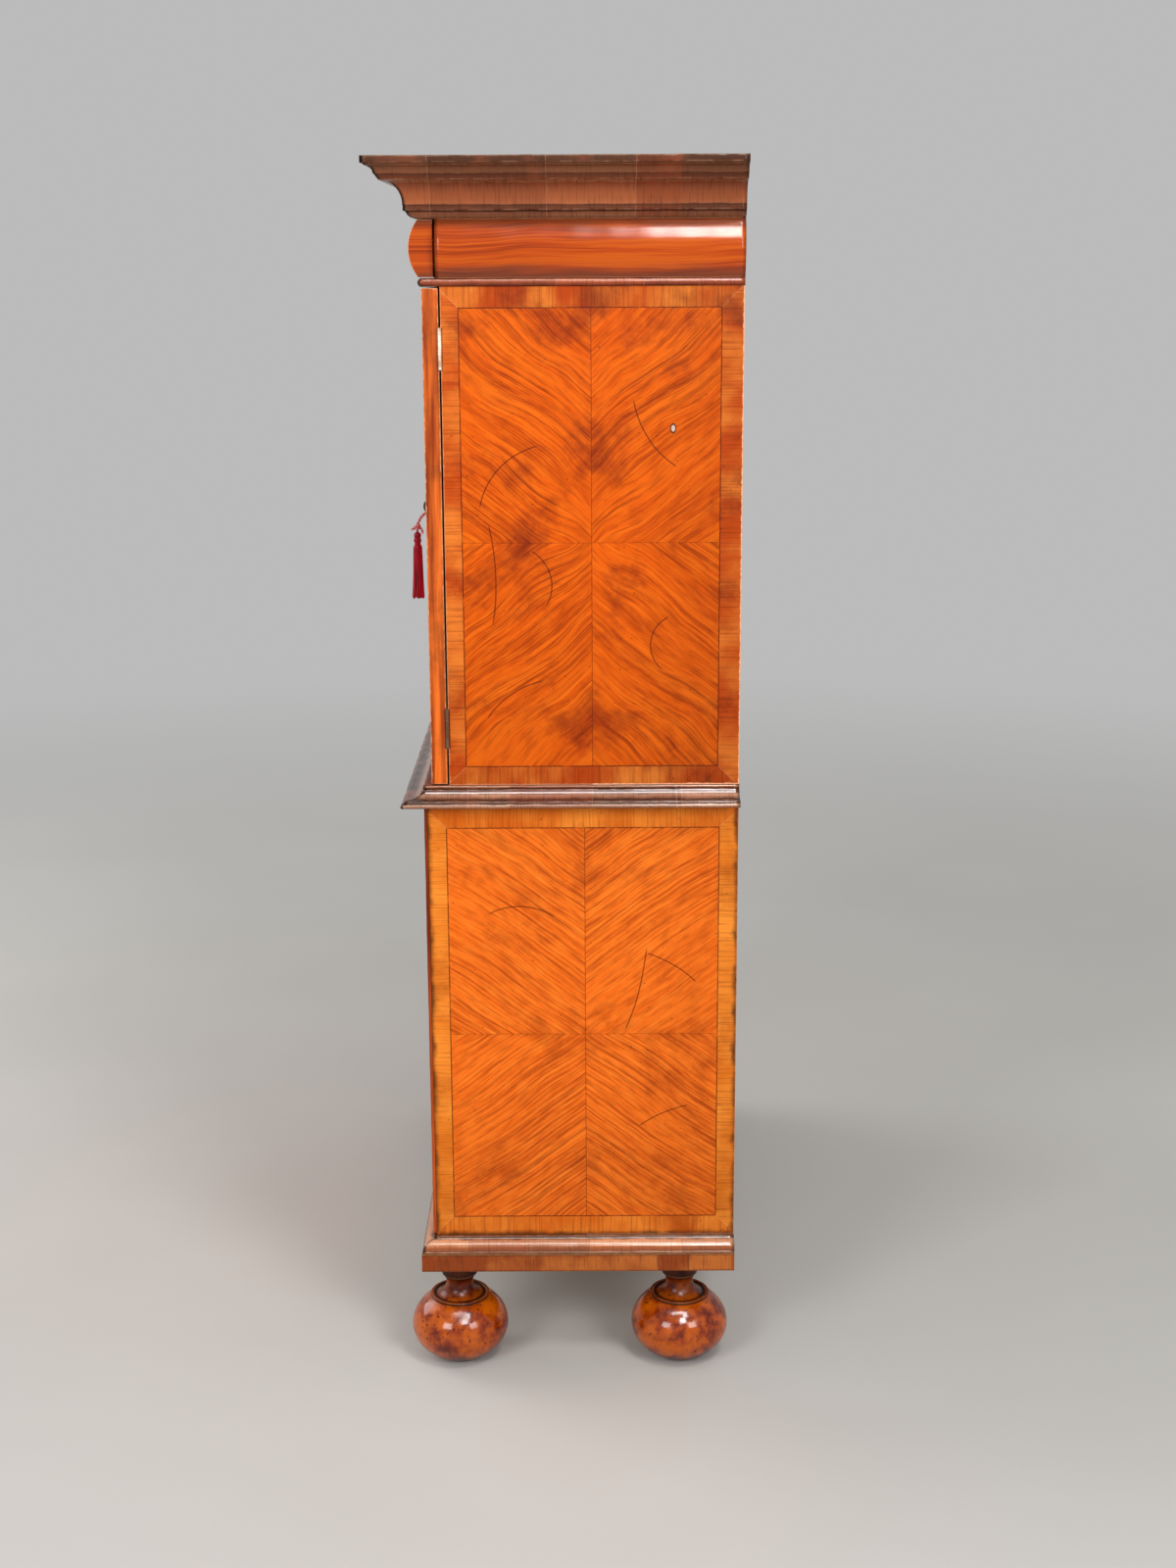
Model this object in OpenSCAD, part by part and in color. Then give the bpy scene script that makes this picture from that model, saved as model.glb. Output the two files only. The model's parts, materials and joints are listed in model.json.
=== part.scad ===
// Walnut cabinet on chest: a two-door cupboard with a cushion frieze drawer, over a chest of three
// long drawers, on turned bun feet. Millimetres. X runs left to right, the front faces -Y and +Z is
// up. The origin is on the floor, at the middle of the overall width and depth.

/* [Case] */
// Width of both stages over their sides
case_w = 980; // [800:10:1200]
// Depth of the chest from its back to its front edges
chest_depth = 430; // [400:5:500]
// Depth of the cupboard from its back to the front edges of its sides
cupboard_depth = 399; // [370:1:440]
// Height of the cupboard's sides between the waist and the bead
cupboard_h = 668; // [560:1:760]
// Thickness of the side boards
side_t = 20; // [18:1:26]
// Thickness of the back boards
back_t = 12; // [8:1:16]
// Thickness of the front rails and of the bottom boards
rail_t = 20; // [16:1:26]
// Depth of the front rails from front to back
rail_depth = 60; // [45:1:90]

/* [Chest drawers] */
// Height of the bottom drawer's opening
bottom_drawer_h = 206; // [150:1:240]
// Height of the middle drawer's opening
middle_drawer_h = 188; // [140:1:220]
// Height of the top drawer's opening
top_drawer_h = 170; // [130:1:200]
// Thickness of the drawer fronts
front_t = 20; // [16:1:26]
// Thickness of the drawers' sides and backs
lining_t = 10; // [8:1:12]
// Thickness of the drawer bottoms
bottom_t = 8; // [6:1:10]
// Clearance between a drawer front and its opening
front_gap = 1; // [0.5:0.25:2]
// Clearance between a drawer's bottom edges and what they run on
run_gap = 0.3; // [0.2:0.05:0.6]
// Height of the drawer bottom above the lower edges of the sides
bottom_raise = 8; // [7:1:12]
// How far the drawer sides stop below the top of the opening
side_drop = 8; // [5:1:15]
// Width of the runners under the drawer sides
runner_w = 24; // [18:1:36]
// Thickness of the dustboards between the drawers
dustboard_t = 8; // [6:1:12]
// Length of a drawer stop
stop_l = 30; // [20:1:50]
// Width of a drawer stop
stop_w = 10; // [8:1:16]
// Height of a drawer stop
stop_h = 5; // [3:0.5:6.5]
// Distance from the case's sides to the drawer stops
stop_inset = 120; // [60:5:200]

/* [Plinth and feet] */
// Height of the plinth frame
plinth_h = 26; // [20:1:36]
// How far the plinth frame stands out past the chest
plinth_out = 21; // [16:1:28]
// Width of the boards of the plinth frame
plinth_board_w = 110; // [96:1:140]
// Height of the moulding on the plinth
plinth_mould_h = 22; // [18:1:30]
// Height of the feet
foot_h = 152; // [135:1:175]
// Diameter of the bun at its widest
bun_d = 141; // [120:1:150]
// Height of the bun up to its collar
bun_h = 93; // [80:1:100]
// Height of the bun's widest point above the floor
bun_mid = 49; // [40:1:56]
// Diameter of the flat that the bun stands on
bun_rest_d = 58; // [46:1:90]
// Diameter of the turned collar on top of the bun
collar_d = 85; // [74:1:92]
// Diameter of the foot's neck at its waist
neck_d = 39; // [36:1:48]
// Diameter of the foot where it meets the plinth
neck_top_d = 57; // [50:1:66]
// Diameter of the spigot that is glued into the plinth
spigot_d = 32; // [24:1:34]
// Length of the spigot
spigot_l = 24; // [15:1:24]
// Distance from the plinth's outer faces to the centres of the front feet
foot_inset = 51; // [46:1:64]
// Distance from the back to the centres of the back feet
back_foot_inset = 77; // [72:1:85]

/* [Mouldings] */
// Height of the waist moulding
waist_h = 26; // [22:1:36]
// How far the waist moulding stands out past the chest
waist_out = 34; // [28:1:42]
// How far the waist moulding stands up round the foot of the cupboard
seat_lip = 8; // [5:1:10]
// Height of the bead over the doors
bead_h = 11; // [9:1:14]
// How far that bead stands out
bead_out = 4; // [3:0.5:5]
// Height of the cushion frieze
frieze_h = 75; // [60:1:90]
// How far the cushion swells out
cushion_out = 12.5; // [9:0.5:16]
// Thickness of the cushion at its upper and lower edges
cushion_edge = 2; // [1:0.5:3]
// How far the frieze stands out past the doors
frieze_out = 3.5; // [2:0.5:5]
// Thickness of the frieze drawer's front without its swelling
frieze_front_t = 20; // [16:1:22]
// Gap behind the frieze drawer's front
frieze_gap = 3; // [2:0.5:4]
// How far the cornice stands out past the frieze
cornice_out = 65.5; // [60:0.5:80]
// Height of the fascia at the top of the cornice
fascia_h = 10; // [7:1:14]
// Height of the hollow under the fascia
hollow_h = 12; // [9:1:15]
// Height of the flat band under the hollow
band_h = 7; // [5:1:10]
// Height of the cornice's cove
cove_h = 30; // [24:1:38]
// Height of the fillet under the cove
fillet_h = 7; // [5:1:10]
// Height of the round at the bottom of the cornice
round_h = 10; // [8:1:14]
// Gap in the mitred corners of the mouldings
mitre_gap = 0.2; // [0.1:0.05:0.4]
// Thickness of the boards in the cornice and of the top boards
top_t = 16; // [12:1:18]

/* [Doors] */
// Thickness of the doors
door_t = 22; // [18:1:26]
// Gap between the back of the doors and the carcase
door_gap = 2; // [1.5:0.25:3]
// Gap between the two doors
meeting_gap = 2; // [1.5:0.25:4]
// Gap above and below the doors
door_end_gap = 1.5; // [1:0.25:3]
// Length of a hinge
hinge_l = 54; // [45:1:70]
// Distance from the ends of a door to the middles of its hinges
hinge_inset = 78; // [60:1:120]
// Diameter of the hinge knuckles
knuckle_d = 6.6; // [6:0.2:7.4]
// Diameter of the hinge pins
pin_d = 3; // [2.6:0.1:3.4]
// Thickness of the hinge leaves
leaf_t = 1.5; // [1.2:0.1:2]
// Width of the hinge leaves
leaf_w = 15; // [13:0.5:17]
// Length of the hinge screws
screw_l = 14; // [10:1:18]
// Clearance round a turning pin
pin_gap = 0.05; // [0.02:0.01:0.09]
// Clearance of metalwork in its recess
recess_gap = 0.2; // [0.1:0.05:0.4]

/* [Shelves] */
// Thickness of the shelves
shelf_t = 15; // [12:1:20]
// How far the shelves stand back from the front of the cupboard
shelf_setback = 24; // [22:1:60]
// Clearance at the ends of a shelf
shelf_gap = 0.5; // [0.3:0.1:0.9]
// Width of the battens under the shelves
batten_w = 12; // [10:1:24]
// Height of the battens under the shelves
batten_h = 18; // [12:1:24]

/* [Locks and bolts] */
// Distance from a door's meeting edge to the key
key_inset = 25; // [22:1:34]
// Width of the lock case
lock_w = 58; // [56:1:70]
// Depth of the lock case
lock_depth = 12; // [11:0.5:14]
// Thickness of the walls of the lock case
lock_wall = 1.5; // [1:0.25:2]
// Travel of the lock's bolt
lock_throw = 12; // [8:1:14]
// Diameter of the key's shank
key_d = 5; // [4:0.5:6]
// Outer diameter of the key's bow
bow_d = 24; // [18:1:26]
// Thickness of the bow's ring
bow_t = 3.4; // [2.6:0.2:4]
// Length of the shank between the escutcheon and the bow
key_reach = 13; // [10:1:16]
// How far the key's bit stands out from the axis of the key
bit_r = 9; // [7.5:0.5:9.5]
// Thickness of the brass plates
plate_t = 1.5; // [1:0.25:2]
// Diameter of the left door's bolts
bolt_d = 6; // [5:0.5:7]
// Length of the left door's bolts
bolt_l = 62; // [55:1:80]
// Travel of the left door's bolts
bolt_throw = 8; // [6:1:9]
// Distance from the meeting edge to the left door's bolts
bolt_inset = 14; // [12:1:24]
// Distance from the back of the door to the middle of a bolt
bolt_stand = 8; // [7:0.5:9]

/* [Tassel] */
// Diameter of the tassel's skirt at its hem
tassel_d = 19; // [15:0.5:21]
// Length of the tassel from the top of its head to its hem
tassel_l = 107; // [75:1:120]
// Diameter of the tassel's head
tassel_head_d = 11.5; // [9:0.5:13]
// Diameter of the twisted cord that it hangs by
cord_d = 4.8; // [4:0.2:5]

/* [Drop handles] */
// Distance from the middle of a drawer to its drop handles
drop_x = 245; // [180:5:300]
// Diameter of the round plates
rose_d = 38; // [32:1:44]
// Distance from a plate to the pin that its drop hangs on
drop_stand = 7; // [6.5:0.25:8]
// Length of a drop from its pin to its tip
drop_l = 36; // [30:1:44]
// Largest diameter of a drop
drop_d = 13; // [11:0.5:14]
// Diameter of the pin that a drop hangs on
drop_pin_d = 2.4; // [2:0.1:2.6]
// Width of the escutcheons
escutcheon_w = 26; // [22:1:30]
// Height of the escutcheons
escutcheon_h = 36; // [32:1:44]

/* [Hidden] */

$fn = 48;
// Steps in a curved stretch of a moulding
steps = 8;
// Reach of a cutting tool past the face that it cuts
past = 1;

walnut = "#a4501f";
dark_walnut = "#6b3117";
oak = "#b98a55";
brass = "#c9a04a";
iron = "#55504a";

half_w = case_w / 2;
inner_w = half_w - side_t;

// Heights, from the floor up
moulding_z = foot_h + plinth_h;
chest_z = moulding_z + plinth_mould_h;
drawer_h = [bottom_drawer_h, middle_drawer_h, top_drawer_h];
run_z = [
    chest_z + rail_t,
    chest_z + 2 * rail_t + bottom_drawer_h,
    chest_z + 3 * rail_t + bottom_drawer_h + middle_drawer_h,
];
waist_z = run_z[2] + top_drawer_h + rail_t;
cupboard_z = waist_z + waist_h;
seat_z = cupboard_z - seat_lip;
head_z = cupboard_z + cupboard_h;
frieze_z = head_z + bead_h;
cornice_z = frieze_z + frieze_h;
cornice_h = fascia_h + hollow_h + band_h + cove_h + fillet_h + round_h;
total_h = cornice_z + cornice_h;

// Depths: the back is flush from the plinth to the cornice
back_y = (cupboard_depth + door_gap + door_t + frieze_out + cornice_out) / 2;
inner_back_y = back_y - back_t;
chest_y = back_y - chest_depth;
carcase_y = back_y - cupboard_depth;
door_back_y = carcase_y - door_gap;
door_y = door_back_y - door_t;
frieze_y = door_y - frieze_out;
frieze_back_y = frieze_y + frieze_front_t;
plinth_y = chest_y - plinth_out;

// The doors
door_z0 = cupboard_z + door_end_gap;
door_z1 = head_z - door_end_gap;
hinge_zs = [door_z0 + hinge_inset, door_z1 - hinge_inset];
hinge_y = (carcase_y + door_back_y) / 2;
meeting_x = meeting_gap / 2;
recess_r = knuckle_d / 2 + recess_gap + 0.1;
knuckle_share = 1 / 3;
knuckle_gap = 0.3;
screw_d = 3;
screw_head_d = 6;
screw_head_h = 1.2;
screw_slot = 0.7;
screw_slot_depth = 0.5;
screw_x = half_w - leaf_w / 2 - 2;

// The lock, the key and the tassel
key_x = meeting_x + key_inset;
key_z = (door_z0 + door_z1) / 2;
lock_edge = 2;
lock_x0 = meeting_x + lock_edge;
lock_z0 = key_z - bit_r - lock_wall - 2;
bolt_bar = [36, 5, 12];
bar_y = door_back_y + 3;
bar_z = key_z + bit_r + 1;
lock_z1 = bar_z + bolt_bar.z + lock_wall + 4;
slide_gap = 0.3;
keeper_l = lock_throw + 12;
escutcheon_y = door_y - plate_t;
bow_y = escutcheon_y - key_reach - bow_d / 2;
key_hole_d = key_d + 1.2;
bit_t = 2;
bit_depth = 5;
key_end_y = door_back_y + 7.5;
cord_angle = 50;
cord_gap = 0.5;
cord_reach = bow_d / 2 + cord_gap;
cord_from = [key_x, bow_y - cord_reach * cos(cord_angle), key_z - cord_reach * sin(cord_angle)];

// The feet
plinth_half_w = half_w + plinth_out;
foot_x = plinth_half_w - foot_inset;
front_foot_y = plinth_y + foot_inset;
back_foot_y = back_y - back_foot_inset;
spigot_gap = 0.1;

// The drawers
front_half_w = inner_w - front_gap;
box_half_w = inner_w - front_gap - 0.2;
box_back_gap = 15;
joint_gap = 0.1;
stop_x = inner_w - stop_inset;
half_bead = rail_t / 4;
lock_case = [60, 10, 34];
drawer_key_d = 5;

// A board given by its lowest and highest corners
module board(x0, x1, y0, y1, z0, z1) {
    translate([x0, y0, z0]) cube([x1 - x0, y1 - y0, z1 - z0]);
}

// A board that is centred on the cabinet's middle
module cross_board(half, y0, y1, z0, z1) {
    board(-half, half, y0, y1, z0, z1);
}

// Both sides of the cabinet
module both_sides() {
    for (side = [0, 1]) mirror([side, 0, 0]) children();
}

// Points of a circular arc from a up to, but not including, b. It swells by s to the left of the
// way from a to b, or to the right where s is negative.
function bow(a, b, s, n = steps) =
    let (way = b - a, chord = norm(way), u = way / chord, v = [-u.y, u.x])
    let (half = 2 * atan(2 * s / chord), r = chord / (2 * sin(half)))
    [
        for (i = [0:n - 1])
            let (t = half * (2 * i / n - 1))
            (a + b) / 2 + u * r * sin(t) + v * r * (cos(t) - cos(half))
    ];

// A length of moulding along X. Its outline holds [how far out, height] pairs.
module length_along_x(outline, half) {
    rotate([90, 0, 90])
        linear_extrude(2 * half, center = true)
            polygon([for (p = outline) [-p.x, p.y]]);
}

// A length of moulding along Y, from y0 to y1, standing out towards +X
module length_along_y(outline, y0, y1) {
    translate([0, y1, 0])
        rotate([90, 0, 0])
            linear_extrude(y1 - y0)
                polygon(outline);
}

// Three lengths of moulding round the front and the sides, mitred at the front corners
module mitred(outline, out, half, y_front, y_end, z) {
    reach = half + 2 * out;
    top = total_h;
    translate([0, 0, z]) {
        intersection() {
            translate([0, y_front, 0]) length_along_x(outline, reach);
            translate([0, 0, -top])
                linear_extrude(2 * top)
                    polygon([
                        [-half + mitre_gap, y_front],
                        [half - mitre_gap, y_front],
                        [reach - mitre_gap, y_front - 2 * out],
                        [-reach + mitre_gap, y_front - 2 * out],
                    ]);
        }
        both_sides() intersection() {
            translate([half, 0, 0]) length_along_y(outline, y_front - 2 * out, y_end);
            translate([0, 0, -top])
                linear_extrude(2 * top)
                    polygon([
                        [half, y_front],
                        [reach, y_front - 2 * out],
                        [reach, y_end],
                        [half, y_end],
                    ]);
        }
    }
}

// Feet

bun_r = bun_d / 2;
collar_r = collar_d / 2;
neck_r = neck_d / 2;
low_turn = acos(bun_rest_d / bun_d);
high_turn = acos((collar_r - 1) / bun_r);
collar_h = 3.5;
neck_z = bun_h + collar_h + 0.31 * (foot_h - bun_h - collar_h);
flare_r = neck_r + 0.7 * (neck_top_d / 2 - neck_r);
foot_outline = concat(
    [[0, 0]],
    [
        for (i = [0:9])
            let (t = -low_turn + low_turn * i / 10)
            [bun_r * cos(t), bun_mid + bun_mid * sin(t) / sin(low_turn)]
    ],
    [
        for (i = [0:12])
            let (t = high_turn * i / 12)
            [bun_r * cos(t), bun_mid + (bun_h - bun_mid) * sin(t) / sin(high_turn)]
    ],
    bow([collar_r, bun_h + 0.5], [collar_r - 1.5, bun_h + collar_h], -1.5, 4),
    [[collar_r - 4, bun_h + collar_h]],
    bow([collar_r - 5, bun_h + collar_h - 1.5], [neck_r, neck_z], 4.5, 10),
    bow([neck_r, neck_z], [flare_r, neck_z + 14], 1.6, 6),
    [[flare_r, neck_z + 14], [neck_top_d / 2, foot_h - 3], [neck_top_d / 2, foot_h]],
    [[spigot_d / 2, foot_h], [spigot_d / 2, foot_h + spigot_l], [0, foot_h + spigot_l]]
);

module foot(x, y) {
    color(dark_walnut)
        translate([x, y, 0])
            rotate_extrude($fn = 72)
                polygon(foot_outline);
}

module foot_front_left() { foot(-foot_x, front_foot_y); }
module foot_front_right() { foot(foot_x, front_foot_y); }
module foot_back_left() { foot(-foot_x, back_foot_y); }
module foot_back_right() { foot(foot_x, back_foot_y); }

// Plinth: two side boards, each bored for two feet, and two cross boards between them

module plinth_frame() {
    color(walnut) {
        between = plinth_half_w - plinth_board_w - joint_gap;
        both_sides() difference() {
            board(plinth_half_w - plinth_board_w, plinth_half_w, plinth_y, back_y, foot_h, moulding_z);
            for (y = [front_foot_y, back_foot_y])
                translate([foot_x, y, foot_h - past])
                    cylinder(d = spigot_d + 2 * spigot_gap, h = plinth_h + 2 * past);
        }
        cross_board(between, plinth_y, plinth_y + plinth_board_w, foot_h, moulding_z);
        cross_board(between, back_y - plinth_board_w, back_y, foot_h, moulding_z);
    }
}

plinth_fillet = 2.5;
plinth_outline = concat(
    [[0, 0], [plinth_out - 3.5, 0], [plinth_out - 3.5, 2.2], [plinth_out - 1, 2.2], [plinth_out - 1, 4]],
    bow([plinth_out - 2, 4], [5, plinth_mould_h - plinth_fillet - 1.5], -4.5),
    [
        [5, plinth_mould_h - plinth_fillet - 1.5],
        [3.5, plinth_mould_h - plinth_fillet],
        [3.5, plinth_mould_h],
        [0, plinth_mould_h],
    ]
);

module plinth_moulding() {
    color(dark_walnut) mitred(plinth_outline, plinth_out, half_w, chest_y, back_y, moulding_z);
}

// Chest

module chest_side_right() {
    color(walnut) board(inner_w, half_w, chest_y, back_y, moulding_z, waist_z);
}

module chest_side_left() { mirror([1, 0, 0]) chest_side_right(); }

module chest_back() {
    color(oak) cross_board(inner_w, inner_back_y, back_y, moulding_z, waist_z);
}

module chest_bottom() {
    color(oak) cross_board(inner_w, chest_y, inner_back_y, chest_z, chest_z + rail_t);
}

module chest_top() {
    color(oak) cross_board(half_w, chest_y, back_y, waist_z, seat_z);
}

module chest_rails() {
    color(oak) {
        cross_board(inner_w, chest_y, chest_y + rail_depth, moulding_z, chest_z);
        for (i = [1, 2])
            cross_board(inner_w, chest_y, chest_y + rail_depth, run_z[i] - rail_t, run_z[i]);
        cross_board(inner_w, chest_y, chest_y + rail_depth, waist_z - rail_t, waist_z);
    }
}

module chest_dustboards() {
    color(oak)
        for (i = [1, 2])
            cross_board(
                inner_w - runner_w, chest_y + rail_depth, inner_back_y,
                run_z[i] - (rail_t + dustboard_t) / 2, run_z[i] - (rail_t - dustboard_t) / 2
            );
}

// Runners behind the two middle rails, and the stops that the closed drawers meet
module chest_runners() {
    color(oak) {
        for (i = [1, 2])
            both_sides()
                board(
                    inner_w - runner_w, inner_w, chest_y + rail_depth, inner_back_y,
                    run_z[i] - rail_t, run_z[i]
                );
        for (i = [0, 1, 2])
            both_sides()
                translate([stop_x, chest_y + front_t + run_gap, run_z[i]])
                    cube([stop_l, stop_w, stop_h]);
    }
}

// A double half-round bead along the front edges of the sides and the rails
bead_base = 1;
bead_outline = concat(
    [[0, 0]],
    bow([bead_base, 0], [bead_base, 2 * half_bead], bead_base - half_bead),
    bow([bead_base, 2 * half_bead], [bead_base, 4 * half_bead], bead_base - half_bead),
    [[bead_base, 4 * half_bead], [0, 4 * half_bead]]
);
side_bead_outline = [for (p = bead_outline) [p.y * side_t / rail_t, -p.x]];

module chest_front_beads() {
    color(dark_walnut) {
        both_sides()
            translate([inner_w, chest_y, chest_z])
                linear_extrude(waist_z - chest_z)
                    polygon(side_bead_outline);
        for (z = [chest_z, run_z[1] - rail_t, run_z[2] - rail_t, waist_z - rail_t])
            translate([0, chest_y, z])
                length_along_x(bead_outline, inner_w - joint_gap);
    }
}

waist_bead = 4.5;
waist_foot_bead = 6.5;
waist_outline = concat(
    [[0, 0]],
    bow([waist_out - 3, 0], [waist_out - 3, waist_foot_bead], -3),
    [
        [waist_out - 3, waist_foot_bead],
        [waist_out - 5, waist_foot_bead + 0.5],
        [waist_out - 5, waist_foot_bead + 2.5],
    ],
    bow([waist_out - 7, waist_foot_bead + 3], [5, waist_h - waist_bead - 1], 4),
    [[5, waist_h - waist_bead - 1], [2.5, waist_h - waist_bead]],
    bow([3, waist_h - waist_bead], [3, waist_h], -1.8),
    [[3, waist_h], [0, waist_h]]
);

// The front length runs in over the chest's top, up to the cupboard's front
module waist_moulding() {
    color(dark_walnut) {
        mitred(waist_outline, waist_out, half_w, chest_y, back_y, waist_z);
        cross_board(half_w - mitre_gap, chest_y, carcase_y, seat_z, cupboard_z);
    }
}

// Cupboard

// The room that one hinge needs in the wood, about its axis, on the side where dir points along Y
module hinge_recess(z, dir) {
    face_y = dir > 0 ? carcase_y : door_back_y;
    depth = leaf_t + recess_gap;
    tall = hinge_l + 2 * recess_gap;
    translate([half_w, hinge_y, z - tall / 2]) cylinder(r = recess_r, h = tall);
    translate([half_w - leaf_w - recess_gap, face_y - (dir > 0 ? past : depth), z - tall / 2])
        cube([leaf_w + recess_gap, depth + past, tall]);
    for (screw_z = screw_places(z))
        translate([screw_x, face_y, screw_z])
            rotate([-90 * dir, 0, 0])
                cylinder(d = screw_d + 2 * recess_gap, h = screw_l + recess_gap);
}

function screw_places(z) = [for (k = [-1, 0, 1]) z + k * hinge_l / 3];

module cupboard_side_right() {
    color(walnut) difference() {
        board(inner_w, half_w, carcase_y, back_y, seat_z, cornice_z);
        for (z = hinge_zs) hinge_recess(z, 1);
    }
}

module cupboard_side_left() { mirror([1, 0, 0]) cupboard_side_right(); }

module cupboard_back() {
    color(oak) cross_board(inner_w, inner_back_y, back_y, seat_z, cornice_z);
}

// The place of the left door's bolts in plan
bolt_at = [-meeting_x - bolt_inset, door_back_y + bolt_stand];
bolt_hole_d = bolt_d + 0.6;

module cupboard_bottom() {
    color(oak) difference() {
        cross_board(inner_w, carcase_y, inner_back_y, seat_z, seat_z + rail_t);
        translate([bolt_at.x, bolt_at.y, seat_z + rail_t - bolt_throw - past])
            cylinder(d = bolt_hole_d, h = bolt_throw + 2 * past);
    }
}

// The board between the doors and the frieze drawer
module frieze_board() {
    color(oak) difference() {
        cross_board(inner_w, carcase_y, inner_back_y, head_z, frieze_z);
        translate([bolt_at.x, bolt_at.y, head_z - past])
            cylinder(d = bolt_hole_d, h = bolt_throw + 2 * past);
    }
}

module top_board() {
    color(oak) cross_board(inner_w, carcase_y, inner_back_y, cornice_z - top_t, cornice_z);
}

// The side friezes, which swell out like the drawer's front
cushion_outline = concat(
    [[0, 0]],
    bow([cushion_edge, 0], [cushion_edge, frieze_h], cushion_edge - cushion_out, 16),
    [[cushion_edge, frieze_h], [0, frieze_h]]
);

module frieze_cushions() {
    color(walnut)
        both_sides()
            translate([half_w, 0, frieze_z])
                length_along_y(cushion_outline, frieze_back_y + frieze_gap, back_y);
}

frieze_bead_outline = concat(bow([0, 0], [0, bead_h], -bead_out), [[0, bead_h]]);

module frieze_bead() {
    color(dark_walnut) {
        mitred(frieze_bead_outline, bead_out, half_w, door_y, back_y, head_z);
        cross_board(half_w - mitre_gap, door_y, carcase_y, head_z, frieze_z);
    }
}

module shelves() {
    color(oak)
        for (z = shelf_zs)
            cross_board(
                inner_w - shelf_gap, carcase_y + shelf_setback, inner_back_y - shelf_gap,
                z, z + shelf_t
            );
}

shelf_room = head_z - seat_z - rail_t - 2 * shelf_t;
shelf_zs = [for (k = [1, 2]) seat_z + rail_t + k * shelf_room / 3 + (k - 1) * shelf_t];

module shelf_battens() {
    color(oak)
        both_sides()
            for (z = shelf_zs)
                board(
                    inner_w - batten_w, inner_w, carcase_y + shelf_setback, inner_back_y,
                    z - batten_h, z
                );
}

// Cornice: a frame of boards, the board over it and the moulding round it

module cornice_frame() {
    color(oak) {
        roof_z = total_h - top_t;
        cross_board(half_w, frieze_y, frieze_y + top_t, cornice_z, roof_z);
        cross_board(half_w, back_y - top_t, back_y, cornice_z, roof_z);
        both_sides()
            board(
                half_w - top_t, half_w, frieze_y + top_t + joint_gap, back_y - top_t - joint_gap,
                cornice_z, roof_z
            );
    }
}

module cornice_top() {
    color(oak) cross_board(half_w, frieze_y, back_y, total_h - top_t, total_h);
}

// Heights where the parts of the cornice begin, and how far out each one starts
round_out = 13;
fillet_out = 16.5;
soffit_out = 12;
band_out = 5;
hollow_out = 12;
fascia_lip = 4;
fillet_z = round_h;
cove_z = fillet_z + fillet_h;
band_z = cove_z + cove_h;
hollow_z = band_z + band_h;
fascia_z = hollow_z + hollow_h;
hollow_x = cornice_out - fascia_lip;
band_x = hollow_x - hollow_out;
cove_x = band_x - band_out - soffit_out;
cornice_outline = concat(
    [[0, 0], [3, 0]],
    bow([3, 0.5], [round_out, round_h - 1.5], -2),
    [
        [round_out, round_h - 1.5],
        [fillet_out, fillet_z],
        [fillet_out, cove_z],
    ],
    bow([fillet_out + 0.5, cove_z], [cove_x, band_z - 2], 4.5, 10),
    [
        [cove_x, band_z - 2],
        [cove_x + soffit_out, band_z],
        [band_x, hollow_z],
    ],
    bow([band_x + 1, hollow_z + 0.5], [hollow_x, fascia_z - 1.5], 3),
    [
        [hollow_x, fascia_z - 1.5],
        [hollow_x, fascia_z],
        [cornice_out, fascia_z + 1],
        [cornice_out, cornice_h],
        [0, cornice_h],
    ]
);

module cornice_moulding() {
    color(dark_walnut) mitred(cornice_outline, cornice_out, half_w, frieze_y, back_y, cornice_z);
}

// Hinges

// One screw at the origin, its head flush with the plane through it and its shank along -Y
module screw() {
    rotate([90, 0, 0]) difference() {
        union() {
            cylinder(d1 = screw_head_d, d2 = screw_d, h = screw_head_h);
            cylinder(d = screw_d, h = screw_l);
        }
        translate([-screw_head_d, -screw_slot / 2, -past])
            cube([2 * screw_head_d, screw_slot, past + screw_slot_depth]);
    }
}

// One leaf of a hinge with its knuckles, its bore and its countersunk holes. dir is 1 for the
// carcase's leaf, which has the two outer knuckles, and -1 for the door's.
module leaf(z, dir) {
    face_y = dir > 0 ? carcase_y : door_back_y - leaf_t;
    open_y = dir > 0 ? carcase_y : door_back_y;
    part_l = hinge_l * knuckle_share;
    difference() {
        union() {
            translate([half_w - leaf_w, face_y, z - hinge_l / 2]) cube([leaf_w, leaf_t, hinge_l]);
            translate([half_w, hinge_y, z - hinge_l / 2]) cylinder(d = knuckle_d, h = hinge_l);
        }
        if (dir > 0)
            translate([half_w, hinge_y, z - part_l / 2 - knuckle_gap])
                cylinder(r = recess_r, h = part_l + 2 * knuckle_gap);
        else
            for (end = [-1, 1])
                translate([half_w, hinge_y, z + end * part_l])
                    cylinder(r = recess_r, h = part_l + 0.02, center = true);
        translate([half_w, hinge_y, z - hinge_l / 2 - past])
            cylinder(d = pin_d + 2 * pin_gap, h = hinge_l + 2 * past);
        for (screw_z = screw_places(z))
            translate([screw_x, open_y, screw_z])
                rotate([-90 * dir, 0, 0]) {
                    translate([0, 0, -past]) cylinder(d = screw_d + 2 * recess_gap, h = leaf_t + 2 * past);
                    cylinder(d1 = screw_head_d + 2 * recess_gap, d2 = screw_d, h = screw_head_h + recess_gap);
                }
    }
}

module hinge_screws(dir) {
    for (z = hinge_zs)
        for (screw_z = screw_places(z))
            translate([screw_x, dir > 0 ? carcase_y : door_back_y, screw_z])
                mirror([0, dir > 0 ? 1 : 0, 0])
                    screw();
}

module hinge_leaves_carcase() {
    color(brass)
        both_sides() {
            for (z = hinge_zs) {
                leaf(z, 1);
                translate([half_w, hinge_y, z - hinge_l / 2]) cylinder(d = pin_d, h = hinge_l);
            }
            hinge_screws(1);
        }
}

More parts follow.
